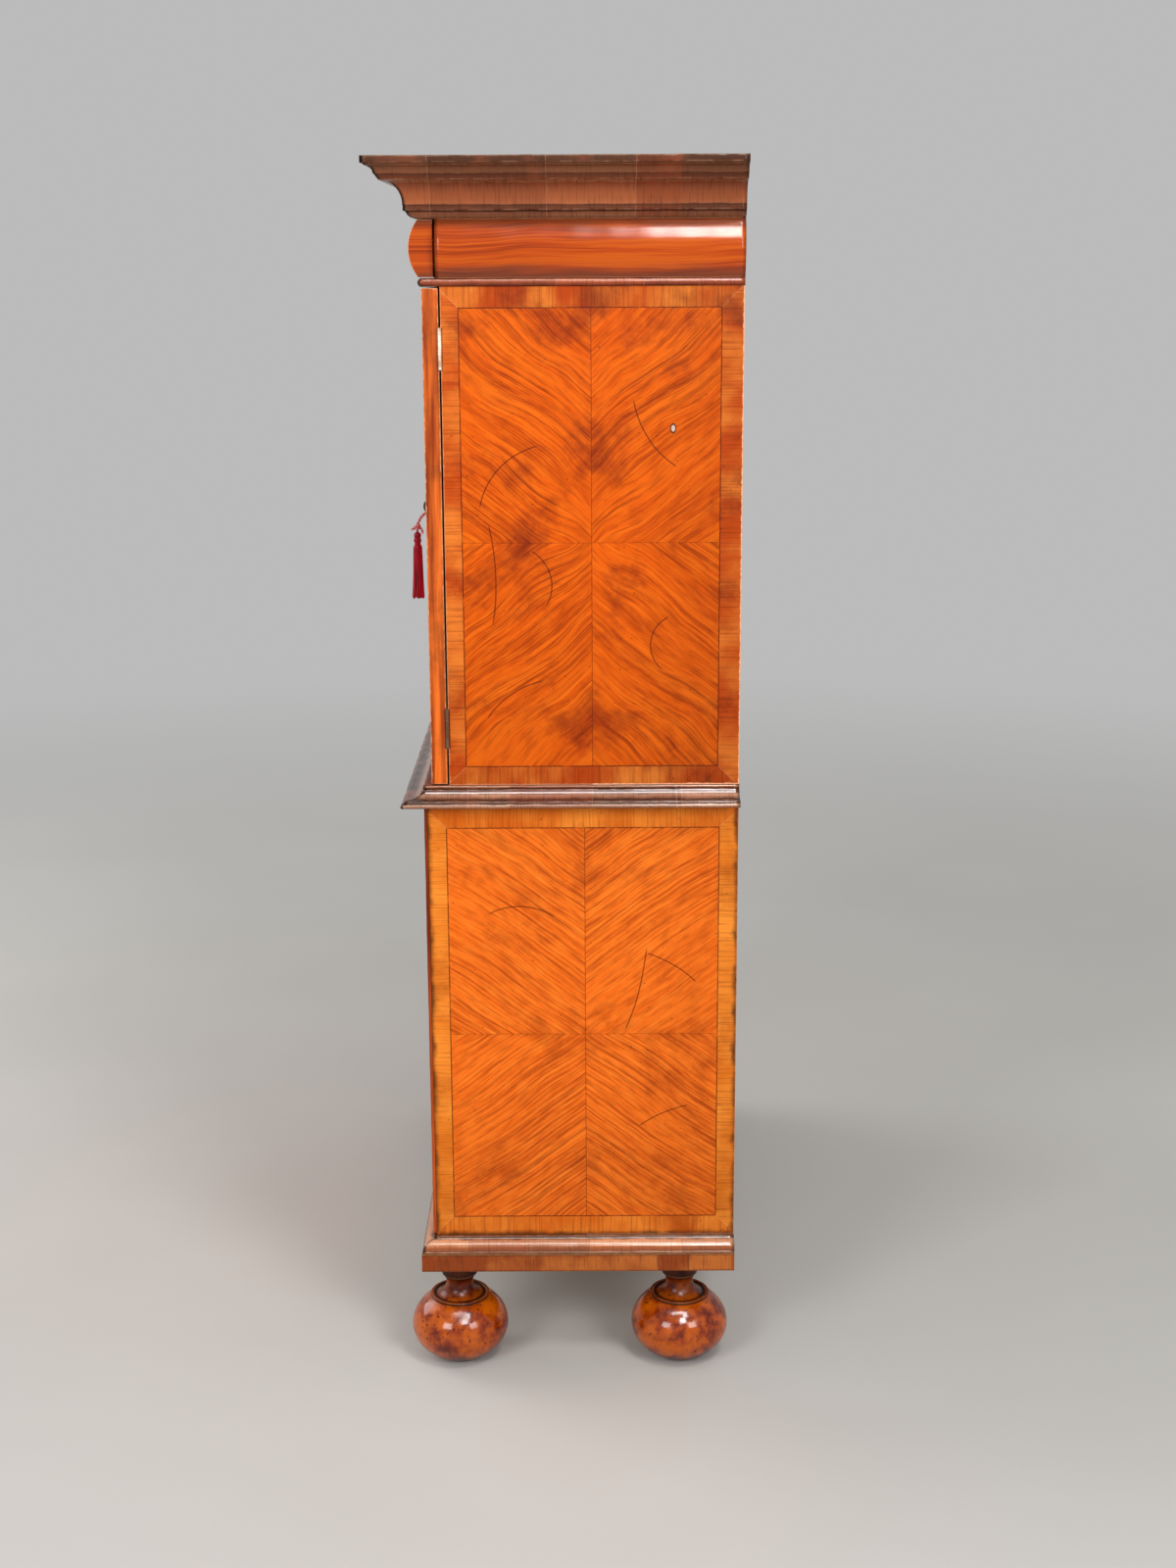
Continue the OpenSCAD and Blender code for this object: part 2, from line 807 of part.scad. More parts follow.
module hinge_leaves_right() {
    color(brass) {
        for (z = hinge_zs) leaf(z, -1);
        hinge_screws(-1);
    }
}

module hinge_leaves_left() { mirror([1, 0, 0]) hinge_leaves_right(); }

// Doors

module door_board() {
    difference() {
        board(meeting_x, half_w, door_y, door_back_y, door_z0, door_z1);
        for (z = hinge_zs) hinge_recess(z, -1);
    }
}

module door_left() {
    color(walnut) mirror([1, 0, 0]) door_board();
}

// A keyhole along Y: a round hole with a slot below it for the bit
module keyhole(x, y0, y1, z, d, drop) {
    translate([x, y1, z]) rotate([90, 0, 0]) cylinder(d = d, h = y1 - y0);
    board(x - d / 4, x + d / 4, y0, y1, z - drop, z);
}

module door_right() {
    color(walnut) difference() {
        door_board();
        keyhole(key_x, door_y - past, door_back_y + past, key_z, key_hole_d, bit_r + 0.5);
    }
}

// The left door's furniture: two bolt plates with staples, and the keeper for the lock
staple_h = 6;
staple_w = bolt_d + 6;
plate_l = bolt_l - 10;
staple_depth = bolt_stand + bolt_d / 2 + 1.6;

module bolt_plate(z_low) {
    difference() {
        union() {
            board(
                bolt_at.x - bolt_d * 1.6, bolt_at.x + bolt_d * 1.6, door_back_y, door_back_y + plate_t,
                z_low, z_low + plate_l
            );
            for (z = [z_low + 2, z_low + plate_l - staple_h - 2])
                board(
                    bolt_at.x - staple_w / 2, bolt_at.x + staple_w / 2,
                    door_back_y, door_back_y + staple_depth, z, z + staple_h
                );
        }
        translate([bolt_at.x, bolt_at.y, z_low - past])
            cylinder(d = bolt_d + 2 * pin_gap, h = plate_l + 2 * past);
    }
}

// The lower ends of the two bolts at rest, where they are drawn back
top_bolt_z = door_z1 - 1 - bolt_l;
low_bolt_z = seat_z + rail_t + 1;

module door_bolt_guides() {
    color(brass) {
        bolt_plate(top_bolt_z + 5);
        bolt_plate(low_bolt_z + 5);
        difference() {
            board(
                -meeting_x - lock_edge - keeper_l, -meeting_x - lock_edge, door_back_y,
                door_back_y + lock_depth, bar_z - 4, bar_z + bolt_bar.z + 4
            );
            board(
                -meeting_x - lock_edge - keeper_l + lock_wall, -meeting_x, door_back_y + lock_wall,
                bar_y + bolt_bar.y + slide_gap, bar_z - slide_gap, bar_z + bolt_bar.z + slide_gap
            );
        }
    }
}

stem_d = 4;
stem_l = 4;
knob_d = 7;
knob_h = 3;

// A round bolt with a knob between its staples
module round_bolt(z_low, knob_z) {
    translate([bolt_at.x, bolt_at.y, z_low]) cylinder(d = bolt_d, h = bolt_l);
    translate([bolt_at.x, bolt_at.y, knob_z])
        rotate([-90, 0, 0]) {
            cylinder(d = stem_d, h = bolt_d / 2 + stem_l);
            translate([0, 0, bolt_d / 2 + stem_l - 1]) cylinder(d = knob_d, h = knob_h);
        }
}

knob_room = 2 + staple_h + 4;

module bolt_top() {
    color(brass) round_bolt(top_bolt_z, top_bolt_z + 5 + knob_room);
}

module bolt_bottom() {
    color(brass) round_bolt(low_bolt_z, low_bolt_z + 5 + plate_l - knob_room);
}

// The right door's lock: a case on the back of the door, with a slot for its bolt
module door_lock() {
    color(iron) difference() {
        board(
            lock_x0, lock_x0 + lock_w, door_back_y, door_back_y + lock_depth,
            lock_z0, lock_z1
        );
        board(
            lock_x0 + lock_wall, lock_x0 + lock_w - lock_wall, door_back_y - past,
            door_back_y + lock_depth - lock_wall, lock_z0 + lock_wall, lock_z1 - lock_wall
        );
        board(
            lock_x0 - past, lock_x0 + 2 * lock_wall, bar_y - slide_gap, bar_y + bolt_bar.y + slide_gap,
            bar_z - slide_gap, bar_z + bolt_bar.z + slide_gap
        );
    }
}

module lock_bolt() {
    color(iron) translate([lock_x0 + slide_gap, bar_y, bar_z]) cube(bolt_bar);
}

// A shaped plate: a round middle with a smaller round above and below
module cartouche() {
    small_d = escutcheon_w / 2;
    circle(d = escutcheon_w);
    for (end = [-1, 1]) translate([0, end * (escutcheon_h - small_d) / 2]) circle(d = small_d);
    square([small_d, escutcheon_h - small_d], center = true);
}

module escutcheon_plate(x, y, z, hole_d, drop) {
    difference() {
        translate([x, y, z])
            rotate([90, 0, 0])
                linear_extrude(plate_t)
                    cartouche();
        keyhole(x, y - plate_t - past, y + past, z, hole_d, drop);
    }
}

module door_escutcheon() {
    color(brass) escutcheon_plate(key_x, door_y, key_z, key_hole_d, bit_r + 0.5);
}

// The key, in the lock with its bit down
module key() {
    bow_r = (bow_d - bow_t) / 2;
    color(iron) {
        translate([key_x, key_end_y, key_z])
            rotate([90, 0, 0])
                cylinder(d = key_d, h = key_end_y - bow_y - bow_r);
        translate([key_x, bow_y, key_z])
            rotate([0, 90, 0])
                rotate_extrude()
                    translate([bow_r, 0]) circle(d = bow_t, $fn = 24);
        translate([key_x, escutcheon_y - 4, key_z])
            rotate([90, 0, 0])
                cylinder(d = key_d + 3, h = 3);
        board(
            key_x - bit_t / 2, key_x + bit_t / 2, key_end_y - 1 - bit_depth, key_end_y - 1,
            key_z - bit_r, key_z
        );
    }
}

// Tassel: a bound head over a skirt of threads, and the cord that it hangs by

head_r = tassel_head_d / 2;
hem_r = tassel_d / 2;
neck_l = 4.4;
stem_r = 1.5;
head_l = neck_l + 18.4;
tassel_outline = concat(
    [[0, -tassel_l], [hem_r - 1.5, -tassel_l], [hem_r, -tassel_l + 3]],
    bow([hem_r - 0.3, -tassel_l * 0.6], [head_r * 1.2, -head_l - 3], -0.6, 6),
    [[head_r * 1.1, -head_l - 1.5]],
    bow([head_r * 0.8, -head_l], [head_r * 0.8, -head_l + 5], -0.8, 4),
    bow([head_r * 0.85, -head_l + 5.5], [stem_r, -neck_l], -2.6, 8),
    [[stem_r, -neck_l], [stem_r, 0], [0, 0]]
);

module tassel() {
    color("#8e1227")
        translate(cord_from + [0, -14, -25.6])
            rotate_extrude()
                polygon(tassel_outline);
}

// The cord's route, from the bow of the key past the tassel's knot to its own end
cord_route = [
    cord_from,
    cord_from + [0, -2.6, -2.1],
    cord_from + [0, -5.4, -4.6],
    cord_from + [0, -8.6, -8.6],
    cord_from + [0, -11.4, -13.6],
    cord_from + [0, -13.8, -18.6],
    cord_from + [0, -16.4, -22.4],
    cord_from + [0, -19.8, -24.8],
    cord_from + [0, -23.4, -26.2],
];
cord_sides = 8;
// The cord's end is slimmer where it turns round the bow
function cord_r(i) = cord_d / 2 * (i == 0 ? 0.2 : 1);

// Rings of points round the route, each square to the way it runs, which stays in the plane of Y and Z
function way(i) =
    let (a = cord_route[max(i - 1, 0)], b = cord_route[min(i + 1, len(cord_route) - 1)])
    (b - a) / norm(b - a);
cord_points = [
    for (i = [0:len(cord_route) - 1])
        let (w = way(i), across = [0, -w.z, w.y])
        for (k = [0:cord_sides - 1])
            let (t = 360 * k / cord_sides)
            cord_route[i] + cord_r(i) * ([1, 0, 0] * cos(t) + across * sin(t))
];
cord_faces = concat(
    [[for (k = [0:cord_sides - 1]) k]],
    [
        for (i = [0:len(cord_route) - 2])
            for (k = [0:cord_sides - 1])
                let (a = i * cord_sides + k, b = i * cord_sides + (k + 1) % cord_sides)
                [a, a + cord_sides, b + cord_sides, b]
    ],
    [[for (k = [0:cord_sides - 1]) len(cord_route) * cord_sides - 1 - k]]
);

module tassel_cord() {
    color("#c46a72") polyhedron(cord_points, cord_faces);
}

// Chest drawers

// Linings: two sides and a back round a bottom, each its own board
module drawer_box(half, y0, y1, z0, z1) {
    color(oak) {
        floor_z = z0 + bottom_raise;
        both_sides()
            board(half - lining_t, half, y0, y1, z0, z1);
        cross_board(half - lining_t - joint_gap, y1 - lining_t, y1, z0, z1);
        cross_board(
            half - lining_t - joint_gap, y0, y1 - lining_t - joint_gap,
            floor_z, floor_z + bottom_t
        );
    }
}

function drawer_mid(i) = run_z[i] + drawer_h[i] / 2;
box_y0 = chest_y + front_t;
box_y1 = inner_back_y - box_back_gap;

module chest_drawer_front(i) {
    color(walnut) difference() {
        cross_board(front_half_w, chest_y, box_y0, run_z[i] + front_gap, run_z[i] + drawer_h[i] - front_gap);
        keyhole(0, chest_y - past, box_y0 + past, drawer_mid(i), drawer_key_d, drawer_key_d);
    }
}

module chest_drawer_box(i) {
    drawer_box(box_half_w, box_y0, box_y1, run_z[i] + run_gap, run_z[i] + drawer_h[i] - side_drop);
}

// Plates, pins, escutcheon and lock of one drawer
lug_h = 7;
lug_w = 9;
eye_w = 4;
eye_gap = 0.2;
pin_y = chest_y - plate_t - drop_stand;

module rose(x, z) {
    difference() {
        union() {
            translate([x, chest_y, z]) rotate([90, 0, 0]) {
                cylinder(d = rose_d, h = plate_t);
                cylinder(d1 = rose_d * 0.7, d2 = rose_d * 0.4, h = plate_t + 1.2);
            }
            board(x - lug_w / 2, x + lug_w / 2, pin_y - 2.4, chest_y, z - lug_h / 2, z + lug_h / 2);
        }
        board(
            x - eye_w / 2 - eye_gap, x + eye_w / 2 + eye_gap, pin_y - 5, chest_y - plate_t - 1.4,
            z - lug_h, z + lug_h
        );
        translate([x - lug_w, pin_y, z])
            rotate([0, 90, 0])
                cylinder(d = drop_pin_d + 2 * pin_gap, h = 2 * lug_w);
    }
    translate([x - lug_w / 2, pin_y, z]) rotate([0, 90, 0]) cylinder(d = drop_pin_d, h = lug_w);
}

module chest_drawer_brasses(i) {
    z = drawer_mid(i);
    color(brass) {
        for (side = [-1, 1]) rose(side * drop_x, z);
        escutcheon_plate(0, chest_y, z, drawer_key_d, drawer_key_d);
        translate([-lock_case.x / 2, box_y0, z - lock_case.z / 2]) cube(lock_case);
    }
}

// A pear-shaped drop with its eye, hanging down from its pin
drop_outline = concat(
    [[0, -drop_l], [1.2, -drop_l]],
    bow([1.4, -drop_l + 1], [2.2, -drop_l + 4.5], -0.8, 4),
    bow([1.8, -drop_l + 4.5], [drop_d / 2, -drop_l + 13], -1.6, 6),
    bow([drop_d / 2, -drop_l + 13], [1.6, -6], 0.8, 8),
    [[1.6, -2], [0, -2]]
);

module drop(side, i) {
    z = drawer_mid(i);
    color(brass)
        translate([side * drop_x, pin_y, z])
            difference() {
                union() {
                    rotate_extrude($fn = 36) polygon(drop_outline);
                    translate([-eye_w / 2, 0, 0]) rotate([0, 90, 0]) cylinder(d = lug_h - 1, h = eye_w);
                }
                translate([-eye_w, 0, 0])
                    rotate([0, 90, 0])
                        cylinder(d = drop_pin_d + 2 * pin_gap, h = 2 * eye_w);
            }
}

module bottom_drawer_front() { chest_drawer_front(0); }
module bottom_drawer_box() { chest_drawer_box(0); }
module bottom_drawer_brasses() { chest_drawer_brasses(0); }
module bottom_drop_left() { drop(-1, 0); }
module bottom_drop_right() { drop(1, 0); }
module middle_drawer_front() { chest_drawer_front(1); }
module middle_drawer_box() { chest_drawer_box(1); }
module middle_drawer_brasses() { chest_drawer_brasses(1); }
module middle_drop_left() { drop(-1, 1); }
module middle_drop_right() { drop(1, 1); }
module top_drawer_front() { chest_drawer_front(2); }
module top_drawer_box() { chest_drawer_box(2); }
module top_drawer_brasses() { chest_drawer_brasses(2); }
module top_drop_left() { drop(-1, 2); }
module top_drop_right() { drop(1, 2); }

// Frieze drawer: its front spans the whole case and shows its swelling section at both ends

frieze_front_outline = concat(
    [[0, front_gap], [-frieze_front_t, front_gap], [-frieze_front_t, frieze_h - front_gap]],
    [[0, frieze_h - front_gap]],
    [
        for (p = bow([0, frieze_h - front_gap], [0, front_gap], cushion_out, 16))
            if (p.x > 0) p
    ]
);

module frieze_drawer_front() {
    color(walnut)
        translate([0, frieze_y, frieze_z])
            length_along_x(frieze_front_outline, half_w);
}

module frieze_drawer_box() {
    drawer_box(
        box_half_w, frieze_back_y, inner_back_y - box_back_gap,
        frieze_z + run_gap, cornice_z - top_t - side_drop
    );
}

foot_front_left();
foot_front_right();
foot_back_left();
foot_back_right();
plinth_frame();
plinth_moulding();
chest_side_left();
chest_side_right();
chest_back();
chest_bottom();
chest_top();
chest_rails();
chest_dustboards();
chest_runners();
chest_front_beads();
waist_moulding();
cupboard_side_left();
cupboard_side_right();
cupboard_back();
cupboard_bottom();
frieze_board();
top_board();
frieze_cushions();
frieze_bead();
cornice_frame();
cornice_top();
cornice_moulding();
shelves();
shelf_battens();
hinge_leaves_carcase();
frieze_drawer_front();
frieze_drawer_box();
bottom_drawer_front();
bottom_drawer_box();
bottom_drawer_brasses();
bottom_drop_left();
bottom_drop_right();
middle_drawer_front();
middle_drawer_box();
middle_drawer_brasses();
middle_drop_left();
middle_drop_right();
top_drawer_front();
top_drawer_box();
top_drawer_brasses();
top_drop_left();
top_drop_right();
door_left();
door_right();
hinge_leaves_left();
hinge_leaves_right();
door_bolt_guides();
bolt_top();
bolt_bottom();
door_lock();
door_escutcheon();
lock_bolt();
key();
tassel();
tassel_cord();
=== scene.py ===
"""The looks of a walnut cabinet on chest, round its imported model. Metres, front towards -Y, +Z up."""

import json
import logging
import math
from dataclasses import dataclass, replace
from enum import Enum, IntEnum

import bmesh
import bpy
import numpy as np
from mathutils import Euler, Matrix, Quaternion, Vector

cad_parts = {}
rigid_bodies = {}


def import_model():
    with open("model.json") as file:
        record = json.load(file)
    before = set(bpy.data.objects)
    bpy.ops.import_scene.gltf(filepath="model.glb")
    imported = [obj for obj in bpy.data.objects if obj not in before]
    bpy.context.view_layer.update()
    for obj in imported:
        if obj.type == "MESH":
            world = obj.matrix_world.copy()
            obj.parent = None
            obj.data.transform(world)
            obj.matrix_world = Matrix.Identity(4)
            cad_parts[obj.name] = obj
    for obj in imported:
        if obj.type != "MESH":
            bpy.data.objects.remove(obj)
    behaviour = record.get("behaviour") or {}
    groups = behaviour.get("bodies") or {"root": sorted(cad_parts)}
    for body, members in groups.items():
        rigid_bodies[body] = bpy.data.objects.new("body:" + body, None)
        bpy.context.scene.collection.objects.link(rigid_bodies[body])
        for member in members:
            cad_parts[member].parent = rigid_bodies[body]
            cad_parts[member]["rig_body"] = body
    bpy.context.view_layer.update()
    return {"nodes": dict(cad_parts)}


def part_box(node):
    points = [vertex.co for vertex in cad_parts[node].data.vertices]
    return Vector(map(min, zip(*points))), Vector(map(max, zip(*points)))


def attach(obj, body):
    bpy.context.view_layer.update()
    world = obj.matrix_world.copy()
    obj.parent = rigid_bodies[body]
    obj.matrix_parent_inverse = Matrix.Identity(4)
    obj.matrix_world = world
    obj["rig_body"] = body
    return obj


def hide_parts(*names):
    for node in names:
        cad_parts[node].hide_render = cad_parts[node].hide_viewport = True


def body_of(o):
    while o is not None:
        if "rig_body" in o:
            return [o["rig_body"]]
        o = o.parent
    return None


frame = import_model()
NODES: dict[str, bpy.types.Object] = frame["nodes"]

log = logging.getLogger("cabinet")
MM = 0.001
SHARP_END = 0.003
LONG_ARRIS = 0.008
Socket = bpy.types.NodeSocket
Value = float | Socket
Colour = tuple[float, float, float, float]
Point = tuple[float, float, float]
Spot = tuple[float, float]


def tone(red: float, green: float, blue: float) -> Colour:
    """A screen colour of 0 to 255 a channel, as the linear colour that a shader takes.

    Each channel is divided by 255 and raised to the power 2.2.

    Args:
        red: The red channel.
        green: The green channel.
        blue: The blue channel.

    Returns:
        The linear colour, opaque.
    """
    r, g, b = (math.pow(c / 255, 2.2) for c in (red, green, blue))
    return r, g, b, 1.0


# Shader building


class Blend(Enum):
    """How one colour is laid over another."""

    OVER = "MIX"
    DARKEN = "MULTIPLY"


class Shade:
    """Builds one node material. Each method adds nodes and returns the socket that holds the result."""

    def __init__(self, name: str) -> None:
        """Starts a material with its own shader.

        Args:
            name: The material's name.
        """
        self.material = bpy.data.materials.new(name)
        self.material.use_nodes = True
        self.tree = self.material.node_tree
        self.shader = self.tree.nodes["Principled BSDF"]
        self.place: Socket = self.node("ShaderNodeTexCoord", {}, "Object")
        self.x, self.y, self.z = self.split(self.place)

    def node(self, kind: str, inputs: dict, out: int | str = 0, **settings: object) -> Socket:
        """Adds a node.

        Args:
            kind: The node's type.
            inputs: Its inputs by name or place, each a socket or a value.
            out: The output to return.
            **settings: The node's own settings.

        Returns:
            The output socket.
        """
        made = self.tree.nodes.new(kind)
        for key, value in settings.items():
            setattr(made, key, value)
        for key, value in inputs.items():
            if isinstance(value, Socket):
                self.tree.links.new(value, made.inputs[key])
            else:
                made.inputs[key].default_value = value
        return made.outputs[out]

    def _work_out(self, kind: str, a: Value, b: Value = 0.0, clamp: bool = False) -> Socket:
        """A Math node, whose kind goes by Blender's name for it."""
        return self.node("ShaderNodeMath", {0: a, 1: b}, operation=kind, use_clamp=clamp)

    def add(self, a: Value, b: Value, clamp: bool = False) -> Socket:
        """a plus b, kept within 0 and 1 if it is clamped."""
        return self._work_out("ADD", a, b, clamp)

    def sub(self, a: Value, b: Value) -> Socket:
        """a less b."""
        return self._work_out("SUBTRACT", a, b)

    def mul(self, a: Value, b: Value) -> Socket:
        """a times b."""
        return self._work_out("MULTIPLY", a, b)

    def over(self, a: Value, b: Value) -> Socket:
        """a divided by b."""
        return self._work_out("DIVIDE", a, b)

    def power(self, a: Value, b: Value) -> Socket:
        """a to the power b."""
        return self._work_out("POWER", a, b)

    def root(self, a: Value) -> Socket:
        """The square root of a."""
        return self._work_out("SQRT", a)

    def sine(self, a: Value) -> Socket:
        """The sine of a, in radians."""
        return self._work_out("SINE", a)

    def sign(self, a: Value) -> Socket:
        """1 where a is above nought, -1 where it is below."""
        return self._work_out("SIGN", a)

    def away(self, a: Value) -> Socket:
        """The size of a without its sign."""
        return self._work_out("ABSOLUTE", a)

    def whole(self, a: Value) -> Socket:
        """The whole number at or below a."""
        return self._work_out("FLOOR", a)

    def rest(self, a: Value) -> Socket:
        """What is left of a over the whole number below it."""
        return self._work_out("FRACT", a)

    def least(self, a: Value, b: Value) -> Socket:
        """The lesser of a and b."""
        return self._work_out("MINIMUM", a, b)

    def most(self, a: Value, b: Value) -> Socket:
        """The greater of a and b."""
        return self._work_out("MAXIMUM", a, b)

    def below(self, a: Value, b: Value) -> Socket:
        """1 where a is less than b, else 0."""
        return self._work_out("LESS_THAN", a, b)

    def above(self, a: Value, b: Value) -> Socket:
        """1 where a is greater than b, else 0."""
        return self._work_out("GREATER_THAN", a, b)

    def distance(self, u: Value, v: Value, to_u: float, to_v: float) -> Socket:
        """How far a place on a face lies from a point on it."""
        across = self.power(self.sub(u, to_u), 2.0)
        return self.root(self.add(across, self.power(self.sub(v, to_v), 2.0)))

    def split(self, vector: Socket) -> tuple[Socket, Socket, Socket]:
        """The three parts of a vector."""
        outputs = self.node("ShaderNodeSeparateXYZ", {0: vector}).node.outputs
        return outputs[0], outputs[1], outputs[2]

    def join(self, x: Value, y: Value, z: Value) -> Socket:
        """A vector from its three parts."""
        return self.node("ShaderNodeCombineXYZ", {0: x, 1: y, 2: z})

    def attribute(self, name: str) -> Socket:
        """A number that the mesh keeps on its points."""
        return self.node("ShaderNodeAttribute", {}, "Fac", attribute_name=name)

    def uv(self) -> tuple[Socket, Socket]:
        """The piece's own map: along it and across it, in metres."""
        along, across, _ = self.split(self.node("ShaderNodeUVMap", {}, uv_map="run"))
        return along, across

    def noise(self, place: Socket, scale: float = 1.0, detail: float = 3.0, rough: float = 0.5) -> Socket:
        """Soft noise of 0 to 1 at a place.

        Args:
            place: The vector that it is read at.
            scale: Blobs per unit.
            detail: Finer layers.
            rough: How strong the finer layers are.

        Returns:
            The noise.
        """
        inputs = {"Vector": place, "Scale": scale, "Detail": detail, "Roughness": rough}
        return self.node("ShaderNodeTexNoise", inputs, "Fac")

    def stretched(self, x: Value, y: Value, z: Value, fine: Point, detail: float = 3.0) -> Socket:
        """Noise whose blobs are stretched: fine gives how many there are in a metre along each value."""
        place = self.join(self.mul(x, fine[0]), self.mul(y, fine[1]), self.mul(z, fine[2]))
        return self.noise(place, 1.0, detail)

    def step(self, value: Value, low: float, high: float) -> Socket:
        """A smooth rise from 0 at low to 1 at high, or a fall where high is the lower of the two.

        Args:
            value: The value that it goes by.
            low: Where the result is 0.
            high: Where it is 1.

        Returns:
            The result.
        """
        if high < low:
            return self.sub(1.0, self.step(value, high, low))
        inputs = {"Value": value, "From Min": low, "From Max": high}
        return self.node("ShaderNodeMapRange", inputs, "Result", interpolation_type="SMOOTHSTEP")

    def line(self, distance: Value, width: float) -> Socket:
        """1 where the distance is nought, falling to 0 at the width."""
        return self.step(self.away(distance), width, width * 0.4)

    def cell(self, value: Value, length: float, seed: float) -> Socket:
        """One random number of 0 to 1 for each stretch of the given length."""
        index = self.whole(self.add(self.over(value, length), seed))
        return self.node("ShaderNodeTexWhiteNoise", {"W": index}, "Value", noise_dimensions="1D")

    def mix(
        self, share: Value, a: Colour | Socket, b: Colour | Socket, how: Blend = Blend.OVER
    ) -> Socket:
        """Colour a going over into colour b, or blended with it in another way."""
        ways = {"data_type": "RGBA", "blend_type": how.value}
        return self.node("ShaderNodeMix", {0: share, 6: a, 7: b}, 2, **ways)

    def scaled(self, colour: Colour | Socket, by: float) -> Socket:
        """A colour made darker by a factor."""
        return self.mix(1.0, colour, (by, by * 0.94, by * 0.9, 1.0), Blend.DARKEN)

    def ramp(self, value: Value, *stops: tuple[float, Colour]) -> Socket:
        """Colours by value.

        Args:
            value: The value.
            *stops: Pairs of a value of 0 to 1 and the colour there.

        Returns:
            The colour.
        """
        result = self.node("ShaderNodeValToRGB", {0: value})
        elements = result.node.color_ramp.elements
        for element, (at, colour) in zip(elements, (stops[0], stops[-1])):
            element.position, element.color = at, colour
        for at, colour in stops[1:-1]:
            elements.new(at).color = colour
        return result

    def finish(
        self, colour: Socket | Colour, rough: Value, height: Socket | None = None, **more: Value
    ) -> bpy.types.Material:
        """Joins colour, roughness and relief to the shader.

        Args:
            colour: The base colour.
            rough: The roughness.
            height: The relief in millimetres, if any.
            **more: The shader's other values, each by its input's name with underscores for spaces.

        Returns:
            The finished material.
        """
        if height is not None:
            more["Normal"] = self.node("ShaderNodeBump", {"Height": height, "Distance": MM, "Strength": 1.0})
        for name, value in {"Base_Color": colour, "Roughness": rough, **more}.items():
            target = self.shader.inputs[name.replace("_", " ")]
            if isinstance(value, Socket):
                self.tree.links.new(value, target)
            else:
                target.default_value = value
        return self.material


# Finishes

RUBBED = tone(243, 176, 134)
GRIME = tone(62, 34, 20)


class Axis(IntEnum):
    """An axis of the cabinet."""

    ACROSS = 0
    DEEP = 1
    UP = 2


class Face(Enum):
    """The way that a veneered face looks, as the axis that runs across it."""

    SIDE = Axis.DEEP
    FRONT = Axis.ACROSS


@dataclass(frozen=True)
class Crack:
    """A hairline crack in the veneer, from start to end on an arc through a middle point."""

    start: Spot
    middle: Spot
    end: Spot

    def circle(self) -> Point:
        """The circle through the three points: the place equally far from all of them, and that distance.

        Returns:
            The centre's two values and the radius.
        """
        a, b, c = (np.array(point) for point in (self.start, self.middle, self.end))
        pull = np.array([b @ b - a @ a, c @ c - a @ a]) / 2
        centre = np.linalg.solve(np.array([b - a, c - a]), pull)
        return float(centre[0]), float(centre[1]), float(np.linalg.norm(a - centre))


